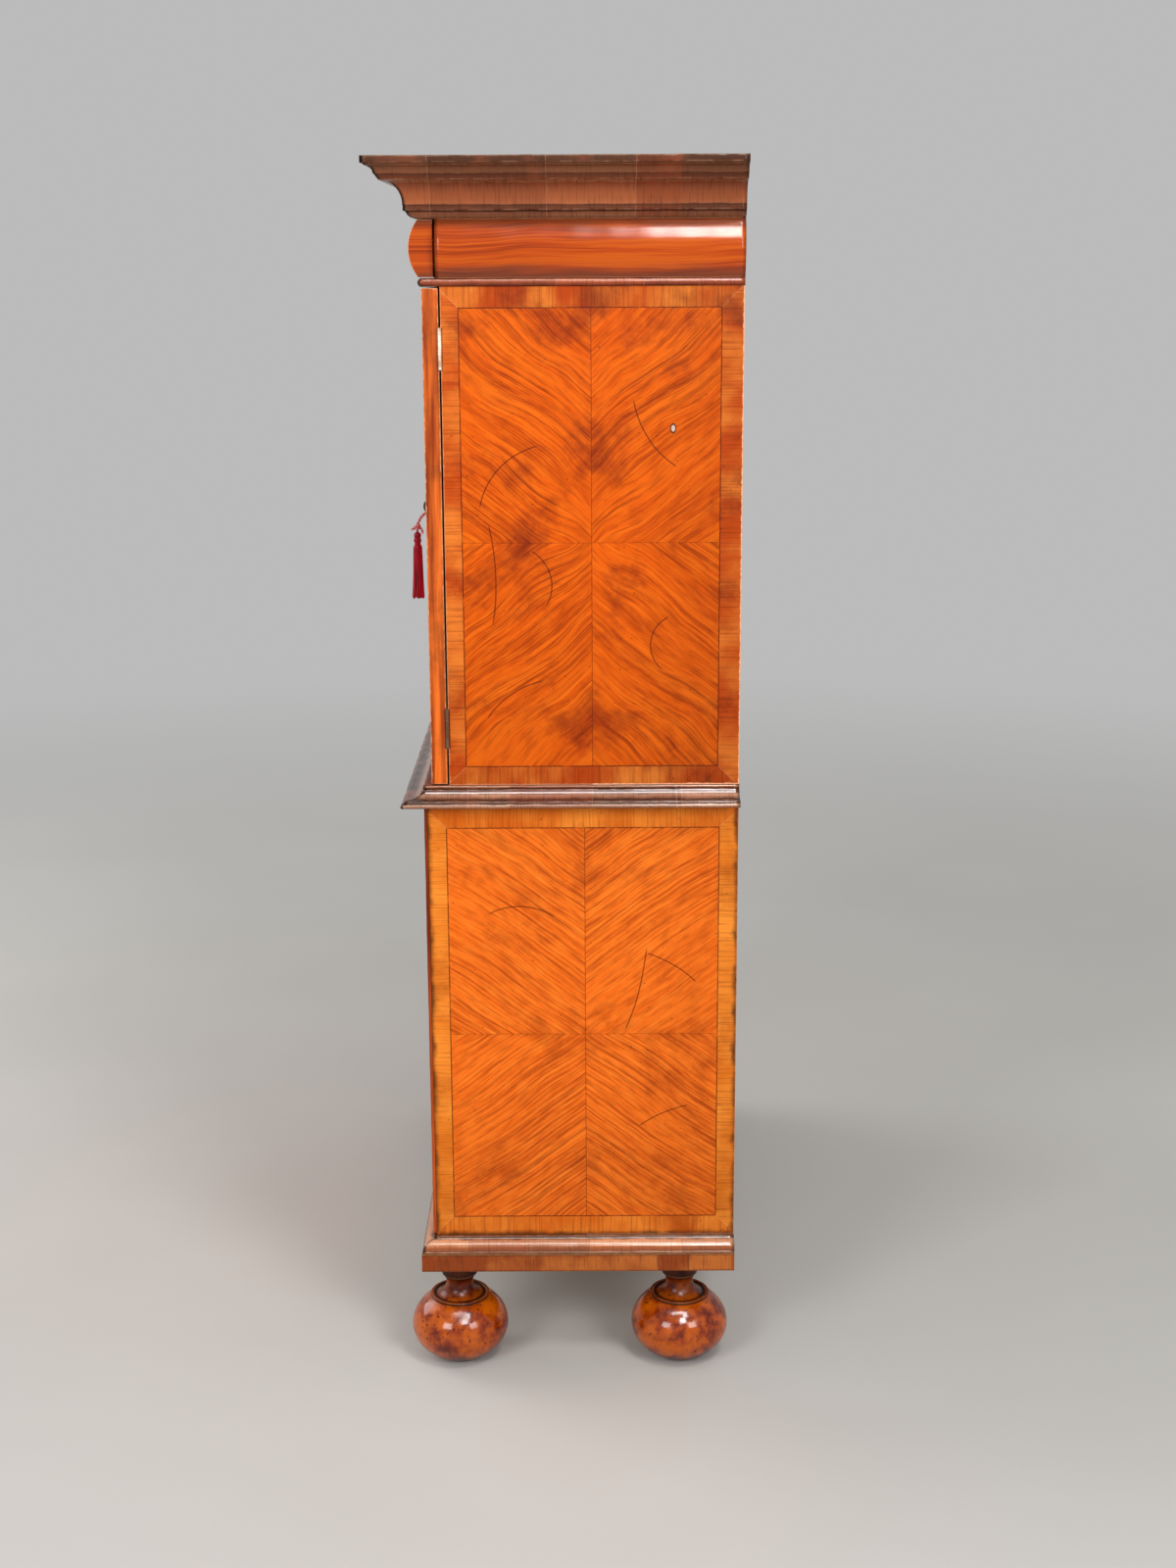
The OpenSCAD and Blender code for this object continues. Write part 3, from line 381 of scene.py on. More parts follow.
@dataclass(frozen=True)
class Veneer:
    """Quartered veneer: four leaves mirrored about two joints, a dark string and a cross-grained border.

    The leaves' stripes run out from the upright joint, upwards above the level one and downwards below it.
    A stripe follows: height from the level joint, less slope times distance from the upright one, plus bend
    times that distance squared, is the same all along it.

    The joint is where the leaves meet. String and edge are the left, right, foot and top of the string and
    of the face. The greater fine is, the closer the stripes lie. Painted shade darkens the face towards its
    right and its foot, soil its rim, and rub pales its arrises left and right of the joint.
    """

    name: str
    face: Face
    joint: Spot
    string: tuple[float, float, float, float]
    edge: tuple[float, float, float, float]
    seed: float
    slope: float = 0.95
    bend: float = 0.9
    sway: float = 0.07
    fine: float = 60.0
    broad: float = 0.4
    stripes: float = 0.52
    even: float = 0.05
    clouds: float = 0.8
    painted_shade: Spot = (0.1, 0.08)
    dents: tuple[Spot, ...] = ()
    soil: float = 0.4
    rub: Spot = (0.35, 1.0)
    field: tuple[Colour, Colour, Colour] = (tone(122, 44, 10), tone(220, 88, 12), tone(238, 114, 26))
    bands: tuple[Colour, Colour] = (tone(214, 88, 26), tone(206, 84, 24))
    cracks: tuple[Crack, ...] = ()

    def material(self) -> bpy.types.Material:
        """Makes the veneer's material.

        Returns:
            The material.
        """
        s = Shade(self.name)
        u, v = (s.y if self.face is Face.SIDE else s.x), s.z
        warp = s.sub(s.noise(s.join(u, v, self.seed), 7.0, 2.0), 0.5)
        right, up = s.sub(u, self.joint[0]), s.sub(v, self.joint[1])
        leaf, thin = self._leaf(s, u, v, warp)
        inside_u = s.least(s.sub(u, self.string[0]), s.sub(self.string[1], u))
        inside_v = s.least(s.sub(v, self.string[2]), s.sub(self.string[3], v))
        inside = s.least(inside_u, inside_v)
        wood = s.mix(s.below(inside, 0.0), leaf, self._band(s, u, v, inside_u, inside_v))

        patch = s.noise(s.join(u, v, self.seed + 11.0), 9.0, 5.0, 0.62)
        dark = s.mul(s.step(patch, 0.5, 0.68), self.clouds)
        wood = s.mix(dark, wood, s.mix(1.0, wood, tone(172, 142, 130), Blend.DARKEN))
        # Painted shade: the face grows darker towards its right and towards its foot.
        far = s.step(u, self.joint[0], self.edge[1])
        deep = s.step(v, self.joint[1], self.edge[2])
        wood = s.mix(s.add(s.mul(far, self.painted_shade[0]), s.mul(deep, self.painted_shade[1])), wood, s.scaled(wood, 0.0))

        within = s.step(inside, 0.0, 0.001)
        broken = s.step(s.noise(s.join(u, v, self.seed), 60.0, 2.0), 0.3, 0.5)
        seams = s.mul(s.line(inside, 0.0011), s.add(0.45, s.mul(broken, 0.4)))
        joint_u = s.mul(s.line(right, 0.0008), s.mul(within, 0.6))
        joint_v = s.mul(s.line(s.add(up, s.mul(warp, 0.002)), 0.0006), s.mul(within, 0.4))
        marks = s.most(seams, s.most(joint_u, joint_v))
        for crack in self.cracks:
            marks = s.most(marks, self._crack(s, u, v, warp, crack))
        wood = s.mix(marks, wood, tone(84, 32, 12))
        wood = self._wear(s, u, v, warp, wood)

        gloss = s.add(0.34, s.add(s.mul(dark, 0.12), s.mul(s.noise(s.place, 30.0), 0.12)))
        swell = s.mul(s.noise(s.place, 9.0, 2.0), 0.5)
        relief = s.add(swell, s.add(s.mul(thin, 0.03), s.mul(marks, -0.12)))
        return s.finish(wood, gloss, relief, Specular_IOR_Level=0.09)

    def _leaf(self, s: Shade, u: Socket, v: Socket, warp: Socket) -> tuple[Socket, Socket]:
        """The figure of the four mirrored leaves.

        Args:
            s: The material under way.
            u: Place across the face.
            v: Place up the face.
            warp: A small wander of the stripes.

        Returns:
            The colour, and the finest lines' noise for the relief.
        """
        low, mid, high = self.field
        seed, fine = self.seed, self.fine
        right, up = s.sub(u, self.joint[0]), s.sub(v, self.joint[1])
        a, b = s.away(right), s.away(up)
        mirrored = s.sub(s.noise(s.join(a, b, seed + 3.0), 5.0, 2.0), 0.5)
        lean = s.sub(s.mul(a, self.slope), s.mul(s.mul(a, a), self.bend))
        stripe = s.add(s.sub(b, lean), s.add(s.mul(mirrored, self.sway), s.mul(warp, 0.012)))
        side = s.add(s.sign(right), s.mul(s.sign(up), 0.4))
        broad = s.stretched(stripe, a, seed, (fine * 0.3, 2.0, 1.0), 3.0)
        uneven = s.stretched(stripe, s.add(a, s.mul(side, 0.07)), seed + 7.0, (fine * 1.5, 2.6, 1.0), 3.0)
        phase = s.add(s.mul(stripe, math.tau * fine * 1.7), s.mul(uneven, 14.0))
        lines = s.add(s.mul(uneven, 0.8), s.add(0.1, s.mul(s.sine(phase), self.even)))
        thin = s.stretched(stripe, s.add(a, side), seed + 2.0, (fine * 6.0, 7.0, 1.0), 3.0)
        leaf = s.mix(s.mul(s.step(broad, 0.48, 0.64), self.broad), mid, high)
        leaf = s.mix(s.mul(s.step(broad, 0.5, 0.36), self.broad), leaf, s.scaled(mid, 0.7))
        clear = s.step(s.noise(s.join(s.add(a, side), b, seed + 29.0), 4.5, 2.0), 0.38, 0.56)
        strength = s.mul(s.add(s.mul(clear, 0.72), 0.28), self.stripes)
        leaf = s.mix(s.mul(s.step(lines, 0.5, 0.64), strength), leaf, low)
        leaf = s.mix(s.mul(s.step(lines, 0.48, 0.36), 0.3), leaf, high)
        leaf = s.mix(s.mul(s.step(thin, 0.47, 0.64), s.mul(strength, 0.85)), leaf, low)
        leaf = s.mix(s.mul(s.step(thin, 0.46, 0.34), 0.35), leaf, high)
        cross = s.stretched(stripe, s.add(a, side), seed + 5.0, (150.0, 40.0, 1.0), 6.0)
        leaf = s.mix(s.mul(s.step(cross, 0.5, 0.66), 0.3), leaf, low)
        return s.mix(s.mul(s.step(cross, 0.5, 0.36), 0.3), leaf, high), thin

    def _band(self, s: Shade, u: Socket, v: Socket, inside_u: Socket, inside_v: Socket) -> Socket:
        """The colour of the cross-grained border, in short pieces that meet in mitres.

        Args:
            s: The material under way.
            u: Place across the face.
            v: Place up the face.
            inside_u: How far the place lies within the string's upright lines.
            inside_v: How far it lies within the string's level lines.

        Returns:
            The colour.
        """
        seed = self.seed
        upright = s.below(inside_u, inside_v)
        along, across, _ = s.split(s.mix(upright, s.join(u, v, 0.0), s.join(v, u, 0.0)))
        grain = s.stretched(along, across, seed, (420.0, 12.0, 1.0), 4.0)
        cloud = s.stretched(along, across, seed, (16.0, 12.0, 1.0), 5.0)
        tones = s.add(s.mul(s.cell(along, 0.118, seed), 0.08), s.mul(cloud, 0.9))
        band = s.mix(upright, self.bands[1], self.bands[0])
        band = s.mix(s.step(tones, 0.34, 0.68), s.scaled(band, 0.78), s.mix(0.4, band, tone(252, 166, 70)))
        band = s.mix(s.mul(s.step(grain, 0.46, 0.66), 0.4), band, self.field[0])
        return s.mix(s.mul(s.line(s.sub(inside_u, inside_v), 0.0007), 0.3), band, RUBBED)

    def _wear(self, s: Shade, u: Socket, v: Socket, warp: Socket, wood: Socket) -> Socket:
        """The colour with dark specks, dents, a soiled rim and rubbed arrises laid over it.

        Args:
            s: The material under way.
            u: Place across the face.
            v: Place up the face.
            warp: A small wander of the outlines.
            wood: The colour below.

        Returns:
            The colour.
        """
        specks = s.step(s.noise(s.join(u, v, self.seed + 17.0), 210.0, 1.0), 0.74, 0.78)
        wood = s.mix(s.mul(specks, 0.75), wood, tone(80, 30, 12))
        for across, at in self.dents:
            dent = s.add(s.distance(s.mul(s.sub(u, across), 1.6), s.sub(v, at), 0.0, 0.0), s.mul(warp, 0.02))
            wood = s.mix(s.step(dent, 0.0062, 0.0045), wood, tone(92, 42, 20))
            wood = s.mix(s.step(dent, 0.0036, 0.0022), wood, tone(206, 176, 160))
        rim_u = s.least(s.sub(u, self.edge[0]), s.sub(self.edge[1], u))
        rim_v = s.least(s.sub(v, self.edge[2]), s.sub(self.edge[3], v))
        rim = s.least(rim_u, rim_v)
        ragged = s.stretched(u, v, self.seed + 23.0, (130.0, 130.0, 1.0), 4.0)
        spread = s.mul(s.noise(s.join(u, v, self.seed + 31.0), 30.0, 5.0, 0.6), 0.02 * self.soil)
        wood = s.mix(s.mul(s.step(s.sub(rim, spread), 0.0, -0.009), self.soil), wood, GRIME)
        worn = s.step(s.sub(rim, s.mul(ragged, 0.0035)), 0.0004, -0.001)
        past_joint = s.above(u, self.joint[0])
        rub = s.add(self.rub[0], s.mul(past_joint, self.rub[1] - self.rub[0]))
        return s.mix(s.mul(worn, rub), wood, RUBBED)

    @staticmethod
    def _crack(s: Shade, u: Socket, v: Socket, warp: Socket, crack: Crack) -> Socket:
        """The dark line of a crack.

        The line lies where the distance from the arc's centre equals its radius, and fades out at the given
        reach from the crack's middle.

        Args:
            s: The material under way.
            u: Place across the face.
            v: Place up the face.
            warp: A small wander of the line.
            crack: The crack.

        Returns:
            The line's strength.
        """
        across, up, radius = crack.circle()
        to_centre = s.distance(u, v, across, up)
        to_middle = s.distance(u, v, *crack.middle)
        reach = math.dist(crack.start, crack.end) / 2
        line = s.line(s.add(s.sub(to_centre, radius), s.mul(warp, 0.006)), 0.0012)
        return s.mul(s.mul(line, s.step(to_middle, reach * 1.04, reach * 0.9)), 0.78)


@dataclass(frozen=True)
class LongGrain:
    """Plain wood whose grain runs along one axis, as on edges, linings and boards.

    The grain is noise stretched along the axis, with a finer layer of pores over it. Planks, where there
    are any, each get a tone of their own and a dark joint. Arrises on the planes named, each an axis and a
    place on it to either side of the middle, are rubbed pale. Faces at the cabinet's back are darkened with
    age.
    """

    name: str
    axis: Axis
    dark: Colour
    light: Colour
    seed: float = 0.0
    plank_axis: Axis | None = None
    plank: float = 0.15
    dirt: float = 0.3
    gloss: float = 0.45
    rims: tuple[tuple[Axis, float], ...] = ()
    shine: float = 0.12
    aged: float = 0.5

    def material(self) -> bpy.types.Material:
        """Makes the wood's material.

        Returns:
            The material.
        """
        s = Shade(self.name)
        places = [s.x, s.y, s.z]
        sway = s.mul(s.sub(s.noise(s.place, 3.0, 2.0), 0.5), 0.03)
        fine = [5.0 if axis is self.axis else 130.0 for axis in Axis]
        pores = [12.0 if axis is self.axis else 420.0 for axis in Axis]
        moved = [s.add(place, sway) for place in places]
        grain = s.stretched(moved[0], moved[1], s.add(moved[2], self.seed), tuple(fine), 4.0)
        pore = s.stretched(places[0], places[1], places[2], tuple(pores), 2.0)
        wood = s.ramp(s.step(grain, 0.3, 0.7), (0.0, self.dark), (1.0, self.light))
        wood = s.mix(s.mul(s.step(pore, 0.56, 0.72), 0.4), wood, self.dark)
        height = s.mul(grain, 0.15)
        if self.plank_axis is not None:
            across = s.add(places[self.plank_axis], 5.0)
            shade = s.cell(across, self.plank, self.seed)
            wood = s.mix(s.mul(shade, 0.35), wood, self.dark)
            gap = s.sub(s.rest(s.over(across, self.plank)), 0.5)
            joint = s.step(s.away(gap), 0.5 - 0.0012 / self.plank, 0.5 - 0.0004 / self.plank)
            wood = s.mix(s.mul(joint, 0.8), wood, GRIME)
            height = s.sub(height, s.mul(joint, 0.8))
        stain = s.step(s.noise(s.place, 16.0, 6.0, 0.68), 0.48, 0.68)
        wood = s.mix(s.mul(stain, self.dirt), wood, GRIME)
        wood = s.mix(s.mul(s.step(s.y, BACK - 0.002, BACK - 0.0005), self.aged), wood, tone(84, 60, 42))
        near = 1.0
        for axis, plane in self.rims:
            near = s.least(near, s.away(s.sub(s.away(places[axis]), abs(plane))))
        if self.rims:
            ragged = s.noise(s.place, 110.0, 4.0)
            wear = s.step(s.sub(near, s.mul(ragged, 0.0036)), -0.0004, -0.0015)
            wood = s.mix(s.mul(wear, 0.85), wood, RUBBED)
        return s.finish(wood, s.add(self.gloss, s.mul(grain, 0.15)), height, Specular_IOR_Level=self.shine)


@dataclass(frozen=True)
class CrossGrain:
    """Moulding faced with short cross-grained pieces, dark in its hollows and pale on its worn arrises.

    The tints go by height, in metres up from the foot of the moulding: the wood's own tones, with painted
    highlights on the beads and rounded bands and painted shade in the hollows and grooves. Its flat top has
    a tone of its own and is duller by the dust on it.
    """

    name: str
    foot: float
    tints_light_and_shade: tuple[tuple[float, Colour], ...]
    piece: float = 0.115
    seed: float = 0.0
    gloss: float = 0.2
    bare: Colour = tone(186, 134, 104)
    worn: float = 0.5
    shine: float = 0.36
    top: Colour = tone(120, 68, 42)
    dust: float = 0.2

    def material(self) -> bpy.types.Material:
        """Makes the moulding's material.

        Returns:
            The material.
        """
        s = Shade(self.name)
        along, across = s.uv()
        seed = self.seed
        tall = self.tints_light_and_shade[-1][0]
        wander = s.mul(s.sub(s.noise(s.place, 40.0, 2.0), 0.5), 0.004)
        up = s.over(s.add(s.sub(s.z, self.foot), wander), tall)
        lid = s.step(s.sub(s.z, self.foot), tall - 0.0007, tall - 0.0003)
        # The tints paint highlights and shade across the profile, over the wood's own tones.
        wood = s.mix(lid, s.ramp(up, *[(at / tall, colour) for at, colour in self.tints_light_and_shade]), self.top)
        shift = s.add(along, s.mul(s.cell(along, self.piece * 2.0, seed + 0.3), self.piece * 0.7))
        shade = s.cell(shift, self.piece, seed)
        wood = s.mix(s.mul(shade, 0.45), wood, s.mix(1.0, wood, tone(140, 128, 124), Blend.DARKEN))
        wood = s.mix(s.mul(s.step(shade, 0.8, 1.0), 0.35), wood, tone(176, 74, 40))
        grain = s.stretched(along, across, seed, (420.0, 22.0, 1.0), 3.0)
        cloud = s.stretched(along, across, seed + 3.0, (24.0, 12.0, 1.0), 3.0)
        wood = s.mix(s.mul(s.step(grain, 0.48, 0.7), 0.4), wood, GRIME)
        wood = s.mix(s.mul(s.step(cloud, 0.52, 0.75), 0.4), wood, s.mix(0.4, wood, tone(190, 96, 58)))
        gap = s.away(s.sub(s.rest(s.add(s.over(shift, self.piece), seed)), 0.5))
        joint = s.step(gap, 0.5 - 0.0006 / self.piece, 0.5 - 0.0002 / self.piece)
        wood = s.mix(s.mul(joint, 0.35), wood, self.bare)
        # Painted shade in the moulding's hollows, together with grime.
        wood = s.mix(s.mul(s.attribute("grime_and_shade"), 0.72), wood, tone(44, 25, 17))
        rub = s.step(s.stretched(along, across, seed + 9.0, (70.0, 70.0, 1.0), 4.0), 0.42, 0.62)
        wood = s.mix(s.mul(s.mul(s.attribute("wear"), rub), self.worn), wood, self.bare)
        gloss = s.add(self.gloss, s.add(s.mul(cloud, 0.14), s.mul(lid, self.dust)))
        shine = s.sub(self.shine, s.mul(lid, self.shine * 0.7))
        return s.finish(wood, gloss, s.add(s.mul(grain, 0.06), s.mul(cloud, 0.25)), Specular_IOR_Level=shine)


@dataclass(frozen=True)
class Banding:
    """A flat band of cross-grained pieces of differing tone, laid side by side along an axis."""

    name: str
    axis: Axis
    low: float
    high: float
    piece: float = 0.062
    dark: Colour = tone(138, 62, 22)
    light: Colour = tone(182, 100, 44)

    def material(self) -> bpy.types.Material:
        """Makes the band's material.

        Returns:
            The material.
        """
        s = Shade(self.name)
        along = s.add((s.x, s.y)[self.axis], 5.0)
        shift = s.add(along, s.mul(s.cell(along, self.piece * 2.0, 0.3), self.piece * 0.8))
        shade = s.cell(shift, self.piece, 7.0)
        grain = s.stretched(along, s.z, 0.0, (380.0, 26.0, 1.0), 3.0)
        cloud = s.stretched(along, s.z, 3.0, (30.0, 22.0, 1.0), 3.0)
        wood = s.mix(s.step(s.add(s.mul(cloud, 0.7), s.mul(shade, 0.35)), 0.38, 0.66), self.light, self.dark)
        wood = s.mix(s.mul(s.step(grain, 0.5, 0.68), 0.5), wood, tone(88, 36, 14))
        rim = s.least(s.sub(s.z, self.low), s.sub(self.high, s.z))
        ragged = s.noise(s.place, 120.0, 4.0)
        dark_rim = s.step(s.sub(rim, s.mul(ragged, 0.004)), 0.001, -0.001)
        wood = s.mix(s.mul(dark_rim, 0.55), wood, tone(74, 36, 20))
        gap = s.away(s.sub(s.rest(s.add(s.over(shift, self.piece), 7.0)), 0.5))
        joint = s.step(gap, 0.5 - 0.0006 / self.piece, 0.5 - 0.0002 / self.piece)
        wood = s.mix(s.mul(joint, 0.4), wood, tone(70, 30, 14))
        return s.finish(wood, s.add(0.3, s.mul(cloud, 0.15)), s.mul(grain, 0.06), Specular_IOR_Level=0.2)


@dataclass(frozen=True)
class Burr:
    """Glossy burr walnut, clouded orange and dark red-brown, with small dark eyes."""

    name: str
    dark: Colour = tone(92, 30, 8)
    mid: Colour = tone(146, 56, 12)
    light: Colour = tone(190, 88, 8)
    gloss: float = 0.12

    def material(self) -> bpy.types.Material:
        """Makes the burr's material.

        Returns:
            The material.
        """
        s = Shade(self.name)
        swirl = s.noise(s.place, 16.0, 4.0, 0.6)
        far, less = s.mul(swirl, 0.05), s.mul(swirl, 0.03)
        place = s.join(s.add(s.x, far), s.add(s.y, less), s.add(s.z, far))
        cloud = s.noise(place, 24.0, 4.0, 0.55)
        curl = s.noise(place, 95.0, 3.0, 0.6)
        figure = s.add(s.mul(cloud, 0.7), s.mul(curl, 0.3))
        wood = s.ramp(s.step(figure, 0.36, 0.62), (0.0, self.dark), (0.4, self.mid), (1.0, self.light))
        eyes = s.node("ShaderNodeTexVoronoi", {"Vector": place, "Scale": 90.0}, "Distance")
        eye = s.mul(s.step(eyes, 0.22, 0.12), s.step(cloud, 0.42, 0.5))
        wood = s.mix(s.mul(eye, 0.75), wood, tone(50, 16, 8))
        # Painted shade from the turned pieces: near black, and duller where it is strong.
        dirt = s.attribute("grime_and_shade")
        wood = s.mix(s.mul(dirt, 0.94), wood, tone(20, 9, 6))
        wood = s.mix(s.mul(s.attribute("wear"), 0.35), wood, tone(176, 120, 90))
        gloss = s.add(self.gloss, s.mul(s.step(s.noise(s.place, 38.0, 4.0), 0.45, 0.75), 0.2))
        relief = s.add(s.mul(s.noise(s.place, 45.0, 3.0), 0.3), s.mul(curl, 0.05))
        shine = s.sub(0.45, s.mul(dirt, 0.3))
        return s.finish(wood, s.add(gloss, s.mul(dirt, 0.25)), relief, Specular_IOR_Level=shine)


@dataclass(frozen=True)
class Cushion:
    """The frieze: long lines of grain in red walnut, dark along its upper and lower edges."""

    name: str
    foot: float
    top: float
    axis: Axis
    seed: float

    def material(self) -> bpy.types.Material:
        """Makes the frieze's material.

        Returns:
            The material.
        """
        s = Shade(self.name)
        along = s.x if self.axis is Axis.ACROSS else s.y
        sway = s.mul(s.sub(s.noise(s.join(along, s.z, self.seed), 6.0, 2.0), 0.5), 0.02)
        up = s.add(s.z, sway)
        broad = s.stretched(along, up, self.seed, (2.0, 55.0, 1.0), 3.0)
        fine = s.stretched(along, up, self.seed + 4.0, (6.0, 330.0, 1.0), 3.0)
        figure = s.add(s.mul(broad, 0.5), s.mul(fine, 0.5))
        stops = ((0.0, tone(130, 46, 8)), (0.45, tone(178, 68, 8)), (1.0, tone(200, 90, 18)))
        wood = s.ramp(s.step(figure, 0.34, 0.66), *stops)
        # Painted shade along the upper and lower edges, where the frieze curves away under the cornice and
        # above the bead, together with dark patina.
        edge = s.least(s.sub(s.z, self.foot), s.sub(self.top, s.z))
        cloud = s.stretched(along, s.z, self.seed + 8.0, (9.0, 60.0, 1.0), 4.0)
        dark_rim = s.step(s.add(edge, s.mul(cloud, -0.024)), 0.007, -0.009)
        wood = s.mix(s.mul(dark_rim, 0.8), wood, tone(98, 50, 31))
        wood = s.mix(s.mul(s.attribute("wear"), 0.6), wood, RUBBED)
        gloss = s.add(0.1, s.mul(s.noise(s.place, 25.0, 4.0), 0.1))
        relief = s.add(s.mul(fine, 0.03), s.mul(s.noise(s.place, 12.0, 2.0), 0.2))
        return s.finish(wood, gloss, relief, Specular_IOR_Level=0.36)


@dataclass(frozen=True)
class Metal:
    """Metal with dull and bright patches and darker hollows, browned below a height if one is given."""

    name: str
    bright: Colour
    dull: Colour
    rough: float
    metallic: float = 1.0
    browned: float = 0.0

    def material(self) -> bpy.types.Material:
        """Makes the metal's material.

        Returns:
            The material.
        """
        s = Shade(self.name)
        cloud = s.noise(s.place, 55.0, 4.0, 0.6)
        fine = s.noise(s.place, 420.0, 2.0)
        colour = s.mix(s.step(s.add(cloud, s.mul(fine, 0.15)), 0.42, 0.72), self.bright, self.dull)
        colour = s.mix(s.mul(s.attribute("grime_and_shade"), 0.7), colour, tone(50, 36, 20))
        if self.browned:
            brown = s.mix(0.85, colour, tone(96, 62, 42))
            colour = s.mix(s.step(s.z, self.browned, self.browned - 0.1), colour, brown)
        rough = s.add(self.rough, s.mul(cloud, 0.22))
        return s.finish(colour, rough, s.add(s.mul(fine, 0.03), s.mul(cloud, 0.06)), Metallic=self.metallic)


@dataclass(frozen=True)
class Silk:
    """Silk threads: a fine stripe that follows the threads, a soft sheen and darker depths between them."""

    name: str
    light: Colour
    dark: Colour
    threads: float
    sheen: float = 0.25

    def material(self) -> bpy.types.Material:
        """Makes the silk's material.

        Returns:
            The material.
        """
        s = Shade(self.name)
        along, across = s.uv()
        thread = s.stretched(across, along, 0.0, (self.threads, 18.0, 1.0), 2.0)
        colour = s.ramp(s.step(thread, 0.38, 0.62), (0.0, self.dark), (1.0, self.light))
        # Painted shade in the depths between the threads, where the piece keeps it.
        shade_tone = s.mix(0.75, self.dark, (0.0, 0.0, 0.0, 1.0))
        colour = s.mix(s.mul(s.attribute("grime_and_shade"), 0.85), colour, shade_tone)
        sheen = {"Sheen_Weight": self.sheen, "Sheen_Roughness": 0.4}
        return s.finish(colour, 0.5, s.mul(thread, 0.25), Specular_IOR_Level=0.2, **sheen)


# Mesh building


@dataclass
class Patch:
    """Points on one or more grids, the faces between them, and what each point keeps for its material."""

    points: np.ndarray
    faces: list[list[int]]
    run: np.ndarray
    wear: np.ndarray | None = None
    # Painted shade in hollows and creases, together with grime and patina, of 0 to 1 at each point.
    grime_and_shade: np.ndarray | None = None

    def __add__(self, other: "Patch") -> "Patch":
        """Both patches as one.

        Args:
            other: The patch that is put after this one.

        Returns:
            The joint patch.
        """
        shift = len(self.points)
        return Patch(
            np.concatenate([self.points, other.points]),
            self.faces + [[i + shift for i in face] for face in other.faces],
            np.concatenate([self.run, other.run]),
            np.concatenate([self.kept("wear"), other.kept("wear")]),
            np.concatenate([self.kept("grime_and_shade"), other.kept("grime_and_shade")]),
        )

    def kept(self, name: str) -> np.ndarray:
        """What the points keep under a name, or noughts."""
        values = getattr(self, name)
        return np.zeros(len(self.points)) if values is None else values

    def mirrored(self) -> "Patch":
        """The patch on the other side of the cabinet, its faces turned so that they still point out."""
        points = self.points * np.array([-1.0, 1.0, 1.0])
        return Patch(points, [face[::-1] for face in self.faces], self.run, self.wear, self.grime_and_shade)

    def piece(
        self, name: str, material: bpy.types.Material, smooth: bool = True, weighted: bool = True
    ) -> bpy.types.Object:
        """Puts the patch into a mesh object.

        Args:
            name: The object's name.
            material: Its material.
            smooth: Whether its faces are shaded smooth.
            weighted: Whether its flat faces keep a flat shade next to their eased edges.

        Returns:
            The object.
        """
        mesh = bpy.data.meshes.new(name)
        mesh.from_pydata(self.points.tolist(), [], self.faces)
        mesh.update()
        corners = np.empty(len(mesh.loops), np.int32)
        mesh.loops.foreach_get("vertex_index", corners)
        layer = mesh.uv_layers.new(name="run")
        layer.data.foreach_set("uv", self.run[corners].astype(np.float32).ravel())
        for kept in ("wear", "grime_and_shade"):
            values = mesh.attributes.new(kept, "FLOAT", "POINT").data
            values.foreach_set("value", self.kept(kept).astype(np.float32))
        mesh.polygons.foreach_set("use_smooth", np.full(len(mesh.polygons), smooth))
        mesh.materials.append(material)
        made = bpy.data.objects.new(name, mesh)
        bpy.context.scene.collection.objects.link(made)
        if smooth and weighted:
            made.modifiers.new("flats", "WEIGHTED_NORMAL").weight = 60
        return made


def grid(rows: int, columns: int, close_rows: bool = False, close_columns: bool = True) -> list[list[int]]:
    """Faces between the points of a grid, row by row.

    Args:
        rows: How many rows of points there are.
        columns: How many points are in a row.
        close_rows: Whether the last row joins the first.
        close_columns: Whether the last point of a row joins its first.

    Returns:
        The faces, four points each.
    """
    i = np.arange(rows if close_rows else rows - 1)[:, None]
    j = np.arange(columns if close_columns else columns - 1)[None, :]
    far_i, far_j = (i + 1) % rows, (j + 1) % columns
    corners = [i * columns + j, i * columns + far_j, far_i * columns + far_j, far_i * columns + j]
    return np.stack(corners, axis=-1).reshape(-1, 4).tolist()


def capped(rows: int, sides: int) -> list[list[int]]:
    """Faces of a form of rings that closes in a pole at each end.

    Its points are the rings one after another, then the first ring's pole and the last one's.

    Args:
        rows: How many rings there are.
        sides: How many points are in a ring.

    Returns:
        The faces: the grid's, then a fan of triangles at each pole.
    """
    low, high, last = rows * sides, rows * sides + 1, (rows - 1) * sides
    ring = np.arange(sides)
    faces = grid(rows, sides)
    faces += np.stack([np.full(sides, low), (ring + 1) % sides, ring], 1).tolist()
    faces += np.stack([np.full(sides, high), last + ring, last + (ring + 1) % sides], 1).tolist()
    return faces


def travelled(points: np.ndarray) -> np.ndarray:
    """How far along a line each of its points lies: the sum of the steps before it."""
    steps = np.linalg.norm(np.diff(points, axis=0), axis=1)
    return np.concatenate([[0.0], np.cumsum(steps)])


def ripple(along: np.ndarray, seed: int, waves: tuple[float, ...] = (2.3, 5.1, 9.7, 21.0)) -> np.ndarray:
    """A smooth, uneven wave of about -1 to 1: the mean of sines with random phases.

    Args:
        along: Where it is read, in metres.
        seed: Which wave it is.
        waves: Waves in a metre.

    Returns:
        Its height at each place.
    """
    phases = np.random.default_rng(seed).uniform(0, 2 * math.pi, len(waves))
    sines = (np.sin(2 * math.pi * wave * along + phase) for wave, phase in zip(waves, phases))
    return sum(sines) / math.sqrt(len(waves))


